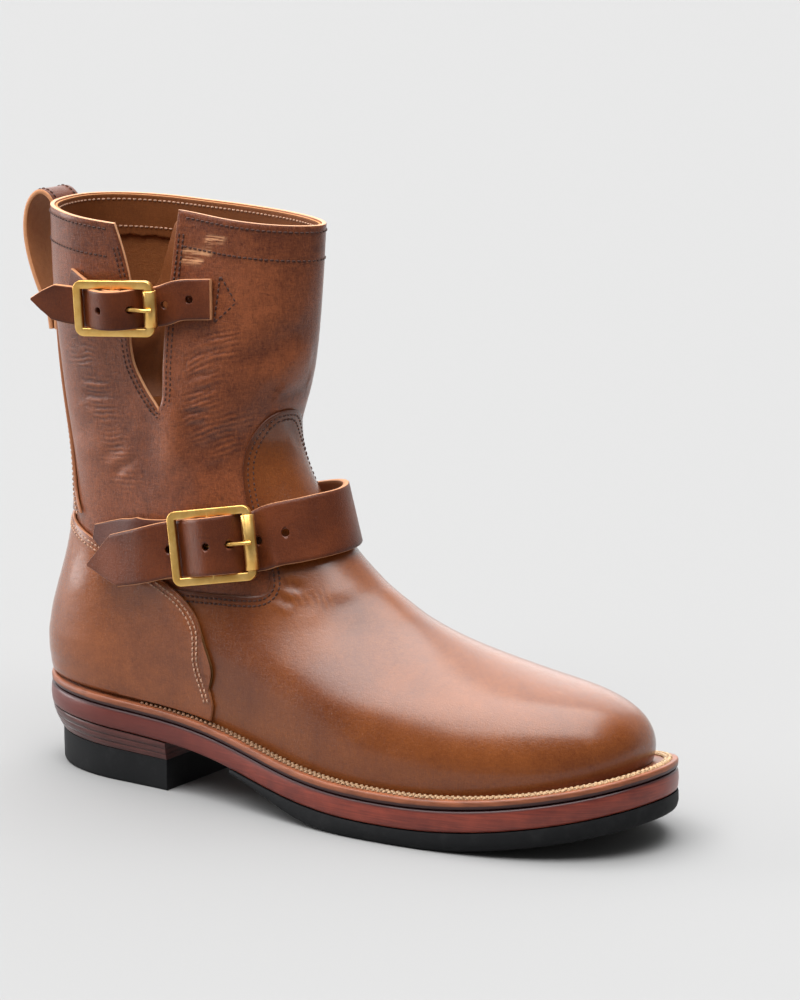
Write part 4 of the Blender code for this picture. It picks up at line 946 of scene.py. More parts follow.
for distance in COUNTER_SEAMS:
    moved_angle, moved_level = beside(top_angle[1:-1], top_level[1:-1], distance)
    off = counter_rest(moved_level, counter_seam[1:-1], top_level[1:-1]) + COUNTER_THICK
    counter_rows.append(on_upper(moved_angle, moved_level, off + THREAD_LIFT))
add_seam("counter_stitches", counter_rows, pale_thread)

# Backstay. A tapering strip of the same leather up the back seam, from the counter to below the pull
# loop, with one row of pale thread inside each edge.

BACKSTAY_THICK = 1.3
BackstaySpread = namedtuple("BackstaySpread", "z degrees")
BACKSTAY_SPREAD = [
    BackstaySpread(114.6, 46.0), BackstaySpread(125.0, 34.0), BackstaySpread(145.0, 25.0),
    BackstaySpread(170.0, 19.0), BackstaySpread(205.0, 15.0),
]
backstay_spread = monotone_spline(column(BACKSTAY_SPREAD, "z"), column(BACKSTAY_SPREAD, "degrees"))
backstay_z = np.linspace(BACKSTAY_SPREAD[0].z, BACKSTAY_SPREAD[-1].z, 90)
backstay_angle = 180.0 + backstay_spread(backstay_z)[:, None] * np.linspace(-1.0, 1.0, 41)
backstay_level = level_at(backstay_angle, backstay_z[:, None])
backstay_tone = soft_waves(upper_surface(backstay_angle, backstay_level), 40.0, 0.2)
add_piece(
    "backstay_panel",
    wall(
        upper_at(backstay_angle, backstay_level, 0.7 + BACKSTAY_THICK + 0.3 * backstay_tone),
        upper_at(backstay_angle, backstay_level, 0.5),
        0.3,
        tags={"tone": backstay_tone},
    ),
    counter_leather,
    replaces=["backstay"],
)
backstay_rows = []
for side in (-1.0, 1.0):
    edge = 180.0 + side * backstay_spread(backstay_z)
    moved = beside(edge, level_at(edge, backstay_z), side * -2.0)
    backstay_rows.append(on_upper(*moved, 0.8 + BACKSTAY_THICK))
add_seam("backstay_stitches", backstay_rows, pale_thread)

# Collar facing. A band of plain vegetable-tanned leather inside the collar, stitched through the shaft,
# with its lower edge left raw.

FACING_THICK, FACING_DEPTH = 1.2, 17.5
LINING_LOOK = LeatherLook(
    light=(0.26, 0.078, 0.017, 1.0), dark=(0.125, 0.034, 0.006, 1.0), raw=(0.56, 0.25, 0.10, 1.0),
    flesh=(0.31, 0.098, 0.024, 1.0), rough=0.62, coat=0.0, grain=0.10,
)
lining_leather = leather("lining_leather_look", LINING_LOOK)
facing_drop = FACING_DEPTH * (1 - np.linspace(0.0, 1.0, 30)[:, None]) + 0.6
facing_span = np.linspace(0.0, 1.0, 220)
facing_angles = front_angle[-1] - 0.8 + (rear_angle[-1] - 359.2 - front_angle[-1] + 0.8) * facing_span
facing_top = upper_surface(facing_angles, 1.0)[:, 2]
ragged = 0.35 * np.sin(facing_angles * 0.5) + 0.2 * np.sin(facing_angles * 1.3 + 1.0)
facing_z = facing_top - facing_drop - ragged * facing_drop / FACING_DEPTH


slit_edge_z = [upper_surface(edge, shaft_levels)[:, 2] for edge in (front_angle, rear_angle)]


def slit_limits(z, angle):
    """Keep an angle on the shaft's side of the slit at each height."""
    front = np.interp(z, slit_edge_z[0], front_angle) - 0.8
    rear = np.interp(z, slit_edge_z[1], rear_angle) - 359.2
    return np.clip(angle, rear, front)


facing_angle = slit_limits(facing_z, np.broadcast_to(facing_angles, facing_z.shape))
facing_level = level_at(facing_angle, facing_z)
facing_out = -SHAFT_WALL - 0.1
add_piece(
    "facing_band",
    wall(
        upper_at(facing_angle, facing_level, facing_out - FACING_THICK),
        upper_at(facing_angle, facing_level, facing_out),
        0.3,
    ),
    lining_leather,
    replaces=["collar_facing"],
)

inside_rows = []
for drop in COLLAR_SEAMS:
    collar_level = level_at(collar_angles, collar_top - drop)
    line, normal = on_upper(collar_angles, collar_level, facing_out - FACING_THICK)
    inside_rows.append((line, -normal))
add_seam("facing_stitches", inside_rows, pale_thread)

# Gusset. A thin sheet of lining leather folded inwards behind the slit and held to both flaps. Its upper
# edge dips towards the rear flap.

GUSSET_THICK, GUSSET_TOP_Z, GUSSET_TUCK, GUSSET_DIP = 1.2, 245.0, 7.0, 38.0
gusset_share = np.linspace(0.0, 1.0, 61)
gusset_fold = 1 - np.abs(2 * gusset_share - 1)
GussetEdge = namedtuple("GussetEdge", "share drop")
GUSSET_EDGE = [
    GussetEdge(0.0, 0.0), GussetEdge(0.36, 0.03), GussetEdge(0.60, 0.76), GussetEdge(0.86, 1.0),
    GussetEdge(1.0, 0.3),
]
gusset_edge = monotone_spline(column(GUSSET_EDGE, "share"), column(GUSSET_EDGE, "drop"))
gusset_dip = GUSSET_DIP * gusset_edge(gusset_share)
gusset_inset = SHAFT_WALL + FACING_THICK + 0.6 + GUSSET_THICK / 2 + 0.2


def outer_side(x, z):
    """The angle on the outer side at which the surface passes a point seen from the side."""
    angles = np.arange(150.0, 25.0, -1.0)
    along = upper_surface(angles, level_at(angles, z))[:, 0]
    order = np.argsort(along)
    return np.interp(x, along[order], angles[order])


gusset_lines = []
for z in np.linspace(SLIT_FOOT_Z + 3.0, GUSSET_TOP_Z, 48):
    ends = []
    for x in (slit_front(z) + GUSSET_TUCK, slit_rear(z) - GUSSET_TUCK):
        point, out = surface_point(outer_side(x, z), z)
        ends.append(point - out * gusset_inset)
    rise = (z - SLIT_FOOT_Z) / (GUSSET_TOP_Z - SLIT_FOOT_Z)
    line = ends[0] * (1 - gusset_share[:, None]) + ends[1] * gusset_share[:, None]
    line[:, 1] += (2.5 + 0.4 * float(slit_front(z) - slit_rear(z))) * smoothstep(gusset_fold * 1.1)
    line[:, 2] -= gusset_dip * rise
    gusset_lines.append(line)
gusset_lines = np.array(gusset_lines)
gusset_half = np.array([0.0, GUSSET_THICK / 2, 0.0])
add_piece(
    "gusset_sheet",
    wall(gusset_lines - gusset_half, gusset_lines + gusset_half, 0.2),
    lining_leather,
    replaces=["gusset"],
)

# Insole. The foot bed is a board of plain vegetable-tanned leather. The upper is lasted over its edge
# and closed by it from below.

INSOLE_THICK = 3.5
SOLE_SECTIONS = 160
sole_pairs = (np.arange(SOLE_SECTIONS) + 0.5) * 180.0 / SOLE_SECTIONS


def tube(sections, ring=False, tags=None):
    """A solid through equal closed sections, capped at its ends or closed into a ring."""
    count, corners = sections.shape[:2]
    index = np.arange(count * corners).reshape(count, corners)
    around = np.concatenate([index, index[:, :1]], axis=1)
    faces = []
    if ring:
        faces.append(grid_quads(np.concatenate([around, around[:1]], axis=0)))
    else:
        faces.extend([grid_quads(around), index[:1], index[-1:]])
    spread = {}
    for name, values in (tags or {}).items():
        spread[name] = np.ravel(np.broadcast_to(values, (count, corners)))
    return Sheet(sections.reshape(-1, 3), faces, spread)


def above_sole(plan, lift):
    """The points of a plan outline at a height above the midsole's top."""
    return np.column_stack([plan[:, :2], sole_top(plan[:, 0]) + lift])


insole_sides = []
for lift in (FOOT_GAP, FOOT_GAP + INSOLE_THICK):
    for angles in (sole_pairs, 360.0 - sole_pairs):
        z = upper_surface(angles, 0.0)[:, 2] + lift
        inside = upper_at(angles, level_at(angles, z), -SHAFT_WALL - 0.3)
        insole_sides.append(above_sole(inside, lift))
insole_order = [insole_sides[0], insole_sides[2], insole_sides[3], insole_sides[1]]
add_piece(
    "insole_board",
    tube(np.stack(insole_order, axis=1)),
    lining_leather,
    replaces=["insole"],
)

# Welt. A strip of firm waxed leather round the foot of the upper, with a rounded rim. A raised line of
# slanted stitches lies on it, cream at the toe and brown towards the heel.

GAP = 0.3
Margin = namedtuple("Margin", "angle width")
WELT_MARGIN = [
    Margin(0, 14.5), Margin(30, 11.0), Margin(60, 7.8), Margin(90, 6.6), Margin(130, 5.4),
    Margin(180, 5.2),
]
welt_margin = monotone_spline(column(WELT_MARGIN, "angle"), column(WELT_MARGIN, "width"))


def fold_angle(angle):
    """An angle's size from the toe, from 0 to 180 on either side."""
    return np.abs((np.asarray(angle, float) + 180.0) % 360.0 - 180.0)


def edge_loop(angles, outward):
    """Outline of the upper's foot in plan, moved outwards by a distance at each angle."""
    foot = upper_at(angles, 0.0, VAMP_STEP)[:, :2]
    run = upper_surface(angles - 0.5, 0.0)[:, :2] - upper_surface(angles + 0.5, 0.0)[:, :2]
    out = unit(np.stack([run[:, 1], -run[:, 0]], -1))
    return foot + out * np.asarray(outward)[..., None]


def sole_edge(angles, inset=0.0):
    """Outline of the sole in plan: the upper's foot moved out by the welt's margin, less an inset."""
    return edge_loop(angles, GAP + welt_margin(fold_angle(angles)) - inset)


welt_angles = np.arange(0.0, 360.0, 1.0)
welt_top = FOOT_GAP + WELT_THICK
welt_foot_z = upper_surface(welt_angles, 0.0)[:, 2] + WELT_THICK
welt_wall = upper_at(welt_angles, level_at(welt_angles, welt_foot_z), VAMP_STEP + 0.1)
WeltCorner = namedtuple("WeltCorner", "inset lift rise")
WELT_PROFILE = [
    WeltCorner(0.7, FOOT_GAP, 0.0), WeltCorner(0.25, FOOT_GAP + 0.5, 0.1),
    WeltCorner(0.1, FOOT_GAP + 1.6, 0.4), WeltCorner(0.12, welt_top - 1.1, 0.7),
    WeltCorner(0.35, welt_top - 0.4, 0.9), WeltCorner(0.8, welt_top - 0.08, 1.0),
    WeltCorner(2.2, welt_top, 1.0),
]
welt_rows = [above_sole(edge_loop(welt_angles, 0.4), FOOT_GAP)]
for corner in WELT_PROFILE:
    welt_rows.append(above_sole(sole_edge(welt_angles, corner.inset), corner.lift))
welt_rows.append(above_sole(welt_wall, welt_top))
welt_rise = [0.0] + column(WELT_PROFILE, "rise") + [1.0]
SoleLook = namedtuple("SoleLook", "light dark line rough coat top_line low_line")


def sole_leather(name, look):
    """Firm leather edge, stained and polished: fine level streaks between two tones, and dark lines
    above one share of its side and below another, uneven along their length. It is darker aft."""
    made, shader, start, where = finish(name, look.rough, coat=look.coat)
    shader.inputs["Specular IOR Level"].default_value = 0.35
    layers = start.noise(start.stretched(where, (60.0, 60.0, 1500.0)), 1.0, 4.0, 0.6)
    blotch = start.noise(where, 90.0, 4.0, 0.6)
    colour = (layers * 0.6 + blotch * 0.5).between(0.3, 0.8).mix(look.dark, look.light)
    colour = (start.attribute("aft") * 0.8).mix(colour, look.dark)
    rise = start.attribute("rise") + (blotch - 0.5) * 0.12
    edge = rise.between(look.top_line - 0.1, look.top_line + 0.06)
    edge = edge + 1.0 - rise.between(look.low_line - 0.06, look.low_line + 0.06)
    join(shader, "Base Color", edge.mix(colour, look.line))
    join(shader, "Roughness", look.rough + (layers - 0.5) * 0.2)
    join(shader, "Normal", start.bump(0.5, 0.12, layers))
    return made


WELT_LOOK = SoleLook(
    light=(0.31, 0.096, 0.040, 1.0), dark=(0.13, 0.038, 0.017, 1.0), line=(0.048, 0.016, 0.015, 1.0),
    rough=0.42, coat=0.1, top_line=2.0, low_line=0.36,
)
welt_leather = sole_leather("welt_leather_look", WELT_LOOK)
add_piece(
    "welt_strip",
    tube(np.stack(welt_rows, axis=1), ring=True, tags={"rise": welt_rise}),
    welt_leather,
    replaces=["welt"],
)
welt_thread = thread("welt_thread", (0.20, 0.085, 0.040, 1.0), (0.62, 0.42, 0.24, 1.0))
welt_seam = []
for side in (1.0, -1.0):
    for inset, start_at in ((3.5, 125.0), (5.2, 124.4)):
        angles = side * np.linspace(start_at, 0.0, 500)
        line = above_sole(sole_edge(angles, inset), welt_top + 0.2)
        welt_seam.append((line, np.tile([0.0, 0.0, 1.0], (len(line), 1))))
add_piece("welt_stitches", thread_rows(welt_seam, 2.5, 0.95, 16.0), welt_thread)

# Midsole. One thick layer of sole leather, its side stained red-brown and polished, darker towards the
# heel and dark at its upper edge.

AFT_FROM_X, AFT_LENGTH = 170.0, 110.0
EdgeCorner = namedtuple("EdgeCorner", "inset rise")
MIDSOLE_PROFILE = [
    EdgeCorner(1.1, 0.0), EdgeCorner(0.5, 0.03), EdgeCorner(0.15, 0.1), EdgeCorner(0.0, 0.2),
    EdgeCorner(-0.2, 0.5), EdgeCorner(0.0, 0.8), EdgeCorner(0.15, 0.9), EdgeCorner(0.5, 0.97),
    EdgeCorner(1.1, 1.0),
]


def slab(reach, profile, bottom, top):
    """A sole layer: its side is a profile of insets and shares of the thickness, carried round the
    outline, and strips across the boot close it above and below. It runs back to an angle on either
    side, or all round at 180."""
    angles = reach * ((np.arange(2 * SOLE_SECTIONS) + 0.5) / SOLE_SECTIONS - 1.0)
    side = []
    for corner in profile:
        plan = sole_edge(angles, corner.inset)
        low, high = bottom(plan[:, 0]), top(plan[:, 0])
        side.append(np.column_stack([plan, low + (high - low) * corner.rise]))
    side = np.stack(side)
    index = np.arange(side.shape[0] * side.shape[1]).reshape(side.shape[:2])
    rear = np.stack([index[:-1, -1], index[1:, -1], index[1:, 0], index[:-1, 0]], -1)
    faces = [grid_quads(index), rear]
    for row in (index[0], index[-1]):
        faces.append(grid_quads(np.stack([row[:SOLE_SECTIONS], row[: SOLE_SECTIONS - 1 : -1]])))
    rise = np.repeat(column(profile, "rise"), side.shape[1])
    points = side.reshape(-1, 3)
    aft = smoothstep((AFT_FROM_X - points[:, 0]) / AFT_LENGTH)
    return Sheet(points, faces, {"rise": rise, "aft": aft})


SOLE_EDGE_LOOK = SoleLook(
    light=(0.27, 0.049, 0.028, 1.0), dark=(0.100, 0.018, 0.014, 1.0), line=(0.042, 0.014, 0.015, 1.0),
    rough=0.34, coat=0.12, top_line=0.91, low_line=-1.0,
)
edge_leather = sole_leather("sole_edge_look", SOLE_EDGE_LOOK)
add_piece(
    "midsole_layer",
    slab(180.0, MIDSOLE_PROFILE, sole_underside, sole_top),
    edge_leather,
    replaces=["midsole_leather"],
)

# Outsole. A half sole of matt black rubber, glued under the midsole from the arch to the toe, thin at its
# rear end and rounded along its lower edge.

OUTSOLE_THICK, OUTSOLE_REAR_THICK, OUTSOLE_REAR_X, OUTSOLE_FULL_X = 8.0, 2.4, 116.0, 165.0
OUTSOLE_PROFILE = [
    EdgeCorner(1.6, 0.0), EdgeCorner(0.8, 0.05), EdgeCorner(0.3, 0.14), EdgeCorner(-0.2, 0.35),
    EdgeCorner(-0.3, 0.55), EdgeCorner(-0.2, 0.9), EdgeCorner(0.0, 1.0),
]


def outsole_bottom(x):
    """Height of the rubber's underside: the midsole's, less a thickness that grows towards the toe, and
    never below the floor."""
    swell = smoothstep((x - OUTSOLE_REAR_X) / (OUTSOLE_FULL_X - OUTSOLE_REAR_X))
    thick = OUTSOLE_REAR_THICK + (OUTSOLE_THICK - OUTSOLE_REAR_THICK) * swell
    return np.maximum(sole_underside(x) - thick, 0.0)


RUBBER_BLACK, RUBBER_DUST = (0.0042, 0.0046, 0.0055, 1.0), (0.013, 0.013, 0.014, 1.0)


def rubber_look():
    """Matt black rubber: a fine rough skin, dusty grey in places."""
    made, shader, start, where = finish("rubber_look", 0.72)
    shader.inputs["Specular IOR Level"].default_value = 0.25
    dust = start.noise(where, 120.0, 5.0, 0.65).between(0.45, 0.8)
    join(shader, "Base Color", dust.mix(RUBBER_BLACK, RUBBER_DUST))
    skin = start.noise(where, 1800.0, 2.0, 0.6)
    join(shader, "Normal", start.bump(0.4, 0.1, skin))
    return made


rubber = rubber_look()
outsole_reach = np.interp(-OUTSOLE_REAR_X, -sole_edge(sole_pairs)[:, 0], sole_pairs)
add_piece(
    "outsole_layer",
    slab(outsole_reach, OUTSOLE_PROFILE, outsole_bottom, lambda x: sole_underside(x) - GAP),
    rubber,
    replaces=["outsole_rubber"],
)

# Heel. Three lifts of sole leather are nailed and glued into a stack under the midsole, trimmed inwards
# to a rubber top piece that stands on the floor.

HEEL_BREAST_X, HEEL_RUBBER_BREAST, HEEL_RUBBER_BACK, HEEL_UNDERCUT = 80.0, 13.6, 15.4, 4.6
HEEL_LIFT_NAMES = ("heel_lift_lower", "heel_lift_middle", "heel_lift_upper")


def heel_loop(inset):
    """Plan outline of the heel at one height, from the breast round the back to the breast. The inset
    is full at the back and fades along the sides."""
    half = np.linspace(96.0, 180.0, 90)
    angles = np.concatenate([half, 360.0 - half[-2::-1]])
    back = smoothstep((fold_angle(angles) - 110.0) / 60.0)
    plan = sole_edge(angles, inset * (0.25 + 0.75 * back))
    kept = plan[plan[:, 0] < HEEL_BREAST_X - 0.5]
    ends = []
    for side in (plan[: len(half)], plan[len(half) - 1 :][::-1]):
        order = np.argsort(side[:, 0])
        ends.append((HEEL_BREAST_X, np.interp(HEEL_BREAST_X, side[order, 0], side[order, 1])))
    loop = np.vstack([[ends[0]], kept, [ends[1]]])
    run = run_along(loop)
    return sample(np.linspace(0.0, run[-1], 121), run, loop)


HeelLevel = namedtuple("HeelLevel", "height inset rise")


def heel_block(levels):
    """A heel layer through plan outlines at rising levels: each has a height as a function of x, an
    inset and a share of the thickness."""
    loops = []
    for level in levels:
        plan = heel_loop(level.inset)
        loops.append(np.column_stack([plan, level.height(plan[:, 0])]))
    return tube(np.stack(loops), tags={"rise": np.array(column(levels, "rise"))[:, None]})


def rubber_top(x):
    """Height of the heel rubber's top: a straight line from the back to the breast."""
    return HEEL_RUBBER_BACK + (HEEL_RUBBER_BREAST - HEEL_RUBBER_BACK) * x / HEEL_BREAST_X


def heel_plane(share):
    """Height of a plane through the leather stack, from the rubber (0) to the midsole (1)."""
    return lambda x: rubber_top(x) + (sole_underside(x) - GAP - rubber_top(x)) * share


def floor_plane(z):
    """A level plane at a height above the floor."""
    return lambda x: np.full_like(x, z)


HEEL_INSET = 0.6
heel_edge = HEEL_INSET + HEEL_UNDERCUT
HEEL_RUBBER = [
    HeelLevel(floor_plane(0.0), heel_edge + 1.4, 0.0),
    HeelLevel(floor_plane(0.5), heel_edge + 0.6, 0.05),
    HeelLevel(floor_plane(1.4), heel_edge + 0.2, 0.1),
    HeelLevel(lambda x: rubber_top(x) * 0.6, heel_edge, 0.6),
    HeelLevel(lambda x: rubber_top(x) - 0.1, heel_edge, 1.0),
]
add_piece(
    "heel_rubber",
    heel_block(HEEL_RUBBER),
    rubber,
    replaces=["heel_top_piece"],
)
LIFT_LOOK = SoleLook(
    light=(0.115, 0.032, 0.026, 1.0), dark=(0.040, 0.011, 0.010, 1.0), line=(0.03, 0.011, 0.009, 1.0),
    rough=0.34, coat=0.1, top_line=0.95, low_line=0.05,
)
lift_leather = sole_leather("heel_lift_look", LIFT_LOOK)
LIFT_PROFILE = [
    EdgeCorner(0.35, 0.0), EdgeCorner(0.05, 0.08), EdgeCorner(0.0, 0.5), EdgeCorner(0.05, 0.92),
    EdgeCorner(0.35, 1.0),
]
for i, name in enumerate(HEEL_LIFT_NAMES):
    levels = []
    for corner in LIFT_PROFILE:
        up = (i + 0.03 + 0.97 * corner.rise) / len(HEEL_LIFT_NAMES)
        inset = HEEL_INSET + HEEL_UNDERCUT * (1 - up) ** 1.6 + corner.inset
        levels.append(HeelLevel(heel_plane(up), inset, corner.rise))
    add_piece(
        f"{name}_layer",
        heel_block(levels),
        lift_leather,
        replaces=[name],
    )

# Straps. Both are thick oiled leather with cut edges. The instep strap comes round the inner side,
# where it is sewn down, passes the buckle and lies loose with a pointed end. The top strap closes the
# slit. Each buckle hangs in a chape, a short strip folded round its bar.

STRAP_THICK, CHAPE_THICK = 2.8, 2.0
FRAME_WIDTH, FRAME_DEPTH, BAR_RADIUS = 3.6, 2.8, 1.5
ROLLER_BORE, ROLLER_RADIUS, PRONG_RADIUS = 2.3, 2.9, 1.1
BuckleSeat = namedtuple("BuckleSeat", "angle z lift length height slope")
INSTEP_SEAT = BuckleSeat(62.0, 109.8, 8.0, 38.0, 32.0, 2.4)
TOP_SEAT = BuckleSeat(100.0, 209.2, 7.6, 36.0, 24.0, 0.6)
OnUpper = namedtuple("OnUpper", "angle z push lean width")
InBuckle = namedtuple("InBuckle", "along across out width")
INSTEP_STRAP = [
    OnUpper(117.5, 95.4, 8.2, 5.0, 0.6), OnUpper(110.0, 97.4, 8.5, 5.0, 12.0),
    OnUpper(103.0, 99.4, 9.0, 5.0, 21.8), OnUpper(97.0, 101.2, 9.2, 5.0, 22.4),
    OnUpper(89.5, 103.6, 9.0, 5.0, 22.8), InBuckle(-20.5, 0.0, -3.8, 23.1),
    InBuckle(-17.2, 0.0, -3.7, 23.2), InBuckle(-8.0, 0.0, 2.4, 23.5), InBuckle(-1.0, 0.0, 6.0, 23.6),
    InBuckle(4.6, 0.0, 4.9, 23.8), InBuckle(9.0, 0.0, 1.5, 24.0), InBuckle(15.5, 0.0, -4.9, 24.3),
    InBuckle(18.6, 0.0, -5.6, 24.5), OnUpper(38.0, 115.4, 6.2, 12.0, 25.6),
    OnUpper(27.0, 117.8, 8.1, 15.0, 26.0), OnUpper(14.0, 119.8, 10.2, 16.0, 26.0),
    OnUpper(0.0, 121.0, 11.6, 15.0, 25.6),
    OnUpper(-14.0, 121.0, 10.2, 13.0, 25.4), OnUpper(-28.0, 119.6, 8.8, 11.0, 25.4),
    OnUpper(-42.0, 117.0, 7.4, 9.0, 25.4), OnUpper(-56.0, 113.4, 6.0, 7.0, 25.4),
    OnUpper(-70.0, 109.4, 4.8, 5.0, 25.4), OnUpper(-82.0, 106.0, 4.2, 4.0, 25.4),
]
BarTurn = namedtuple("BarTurn", "along out")
ROUND_THE_BAR = [
    BarTurn(-4.6, 0.3), BarTurn(-1.6, 2.42), BarTurn(0.0, 2.9), BarTurn(1.6, 2.42), BarTurn(2.6, 1.3),
    BarTurn(2.9, 0.0), BarTurn(2.6, -1.3), BarTurn(1.6, -2.42), BarTurn(0.0, -2.9), BarTurn(-3.0, -3.5),
]


def round_the_bar(width):
    """The rows of a chape that comes over the buckle's bar and back beneath it."""
    return [InBuckle(turn.along, 0.0, turn.out, width) for turn in ROUND_THE_BAR]


INSTEP_CHAPE = [
    OnUpper(119.0, 108.6, 2.2, 4.0, 6.0), OnUpper(111.0, 107.6, 3.0, 5.0, 13.0),
    OnUpper(103.0, 106.6, 4.6, 6.0, 20.0), OnUpper(95.0, 105.4, 6.0, 5.0, 26.0),
    InBuckle(-17.2, 0.0, -7.1, 24.0), InBuckle(-9.0, 0.0, -2.8, 23.6), *round_the_bar(23.4),
]
TOP_STRAP = [
    InBuckle(-39.0, 3.0, -4.0, 0.6), InBuckle(-34.5, 2.5, -3.9, 7.6), InBuckle(-29.0, 1.8, -3.8, 14.6),
    InBuckle(-23.0, 0.8, -3.8, 15.4), InBuckle(-19.5, 0.3, -3.8, 15.6), InBuckle(-16.2, 0.0, -3.7, 15.8),
    InBuckle(-8.0, 0.0, 2.4, 15.8), InBuckle(-1.0, 0.0, 6.0, 15.8), InBuckle(4.0, 0.0, 4.9, 15.9),
    InBuckle(8.0, 0.0, 1.5, 16.0), InBuckle(14.5, 0.0, -4.9, 16.1), InBuckle(17.6, 0.0, -5.6, 16.3),
    OnUpper(77.0, 212.6, 3.5, 8.0, 16.4), OnUpper(70.5, 213.4, 2.4, 8.0, 16.4),
    OnUpper(63.5, 213.9, 2.2, 8.0, 16.4),
]
TOP_CHAPE = [
    OnUpper(124.0, 212.2, 1.8, 0.0, 22.0), InBuckle(-16.2, 1.4, -7.0, 19.0),
    InBuckle(-9.0, 0.2, -2.8, 16.2), *round_the_bar(15.6),
]


class Seat:
    """A buckle's own frame: its middle, and the directions along the strap, across it and out."""

    def __init__(self, row):
        point, out = surface_point(row.angle, row.z)
        ahead = surface_point(row.angle - 14.0, row.z + row.slope)[0]
        behind = surface_point(row.angle + 14.0, row.z - row.slope)[0]
        self.along = unit(ahead - behind)
        self.out = unit(out - self.along * (out @ self.along))
        self.across = np.cross(self.out, self.along)
        self.centre = point + self.out * row.lift
        self.half_length = row.length / 2 - FRAME_WIDTH / 2
        self.half_height = row.height / 2 - FRAME_WIDTH / 2

    def at(self, along, across, out):
        """A point at distances along, across and out from the buckle's middle."""
        parts = [np.asarray(value, float)[..., None] for value in (along, across, out)]
        return self.centre + self.along * parts[0] + self.across * parts[1] + self.out * parts[2]


def strap_line(rows, seat):
    """Middle points, widthwise directions and widths of a strap from its table."""
    points, ups = [], []
    for row in rows:
        if isinstance(row, InBuckle):
            points.append(seat.at(row.along, row.across, row.out))
            ups.append(seat.across)
        else:
            point, normal = surface_point(row.angle, row.z)
            level_out = unit(np.array([normal[0], normal[1], 0.0]))
            lean = math.radians(row.lean)
            points.append(point + level_out * row.push)
            ups.append(np.array([0.0, 0.0, 1.0]) * math.cos(lean) - level_out * math.sin(lean))
    return np.array(points), np.array(ups), np.array(column(rows, "width"))


Strip = namedtuple("Strip", "line up out width run")
STRIP_LANES = np.linspace(-0.5, 0.5, 19)[:, None]


def strip_along(points, ups, widths, count):
    """The middle line of a flat strip through the points, with its directions and widths."""
    run = run_along(points)
    at = np.linspace(0.0, run[-1], count)
    line = np.column_stack([natural_spline(run, points[:, i])(at) for i in range(3)])
    up = np.column_stack([monotone_spline(run, ups[:, i])(at) for i in range(3)])
    ahead = unit(np.gradient(line, at, axis=0))
    up = unit(up - ahead * np.sum(up * ahead, axis=1, keepdims=True))
    return Strip(line, up, np.cross(ahead, up), np.interp(at, run, widths), at)


def strip_sheet(strip, thick):
    """The strip as a sheet of leather of a thickness, with a slow swell in its tone."""
    middle = strip.line[:, None, :] + strip.up[:, None, :] * (strip.width[:, None, None] * STRIP_LANES)
    face = strip.out[:, None, :] * thick / 2
    tone = soft_waves(middle, 24.0, 0.35) - 0.25 * (2 * np.abs(STRIP_LANES[:, 0])) ** 6
    return wall(middle + face, middle - face, 0.45, tags={"tone": tone})


def strip_row(strip, across, thick):
    """A row of thread on a strip's face, at a share of its width from its middle line."""
    line = strip.line + strip.up * strip.width[:, None] * across
    return line + strip.out * (thick / 2 + THREAD_LIFT), strip.out


STRAP_LOOK = LeatherLook(
    light=(0.165, 0.036, 0.008, 1.0), dark=(0.070, 0.014, 0.0035, 1.0), raw=(0.70, 0.31, 0.14, 1.0),
    flesh=(0.42, 0.17, 0.060, 1.0), rough=0.40, coat=0.05, grain=0.13,
)
# Painted shade: the chape under the instep strap wears a darker, matt copy of the strap leather.
SHADED_CHAPE_LOOK = STRAP_LOOK._replace(
    light=(0.13, 0.036, 0.019, 1.0), dark=(0.065, 0.016, 0.009, 1.0), rough=0.5, coat=0.0
)
strap_leather = leather("strap_leather_look", STRAP_LOOK)
chape_leather = leather("shaded_chape_leather_look", SHADED_CHAPE_LOOK)
HOLE_RADIUS = 1.7
INSTEP_HOLES, TOP_HOLES = [44.5, 68.0, 91.7, 103.6], [37.5, 67.3, 78.4]
SEWN_FIRST, SEWN_LAST, SEWN_REACH = -44, -8, 0.4
CHAPE_SLOT = [(-8.0, -2.0), (7.0, -2.0), (7.0, 2.0), (-8.0, 2.0)]


def merge(sheets):
    """Several sheets as one."""
    points, faces, start = [], [], 0
    for sheet in sheets:
        points.append(sheet.points)
        faces.extend(np.asarray(part) + start for part in sheet.faces)
        start += len(sheet.points)
    return Sheet(np.concatenate(points), faces, {})


def rods(starts, ends, radius, sides=24):
    """Straight rods between pairs of points, as one sheet."""
    turn = full_turn(sides)
    parts = []
    for start, end in zip(starts, ends):
        axis = unit(end - start)
        first = unit(np.cross(axis, [0.3, 0.5, 0.8]))
        second = np.cross(axis, first)
        ring = radius * (np.cos(turn)[:, None] * first + np.sin(turn)[:, None] * second)
        parts.append(tube(np.stack([start + ring, end + ring])))
    return merge(parts)


def strap_holes(strip, places):
    """Rods through the strip at distances from its first end."""
    middles = sample(places, strip.run, strip.line)
    outs = unit(sample(places, strip.run, strip.out))
    return rods(middles - outs * 6.0, middles + outs * 6.0, HOLE_RADIUS)


def sewn_end(strip, thick):
    """Rows of thread in a rectangle near a strip's last end: two along it and two across it."""
    sewn = slice(SEWN_FIRST, SEWN_LAST)
    rows = []
    for across in (-SEWN_REACH, SEWN_REACH):
        line, out = strip_row(strip, across, thick)
        rows.append((line[sewn], out[sewn]))
    shares = np.linspace(-SEWN_REACH, SEWN_REACH, 30)
    for place in (SEWN_FIRST, SEWN_LAST):
        line = np.array([strip_row(strip, across, thick)[0][place] for across in shares])
        rows.append((line, np.tile(strip.out[place], (len(shares), 1))))
    return rows


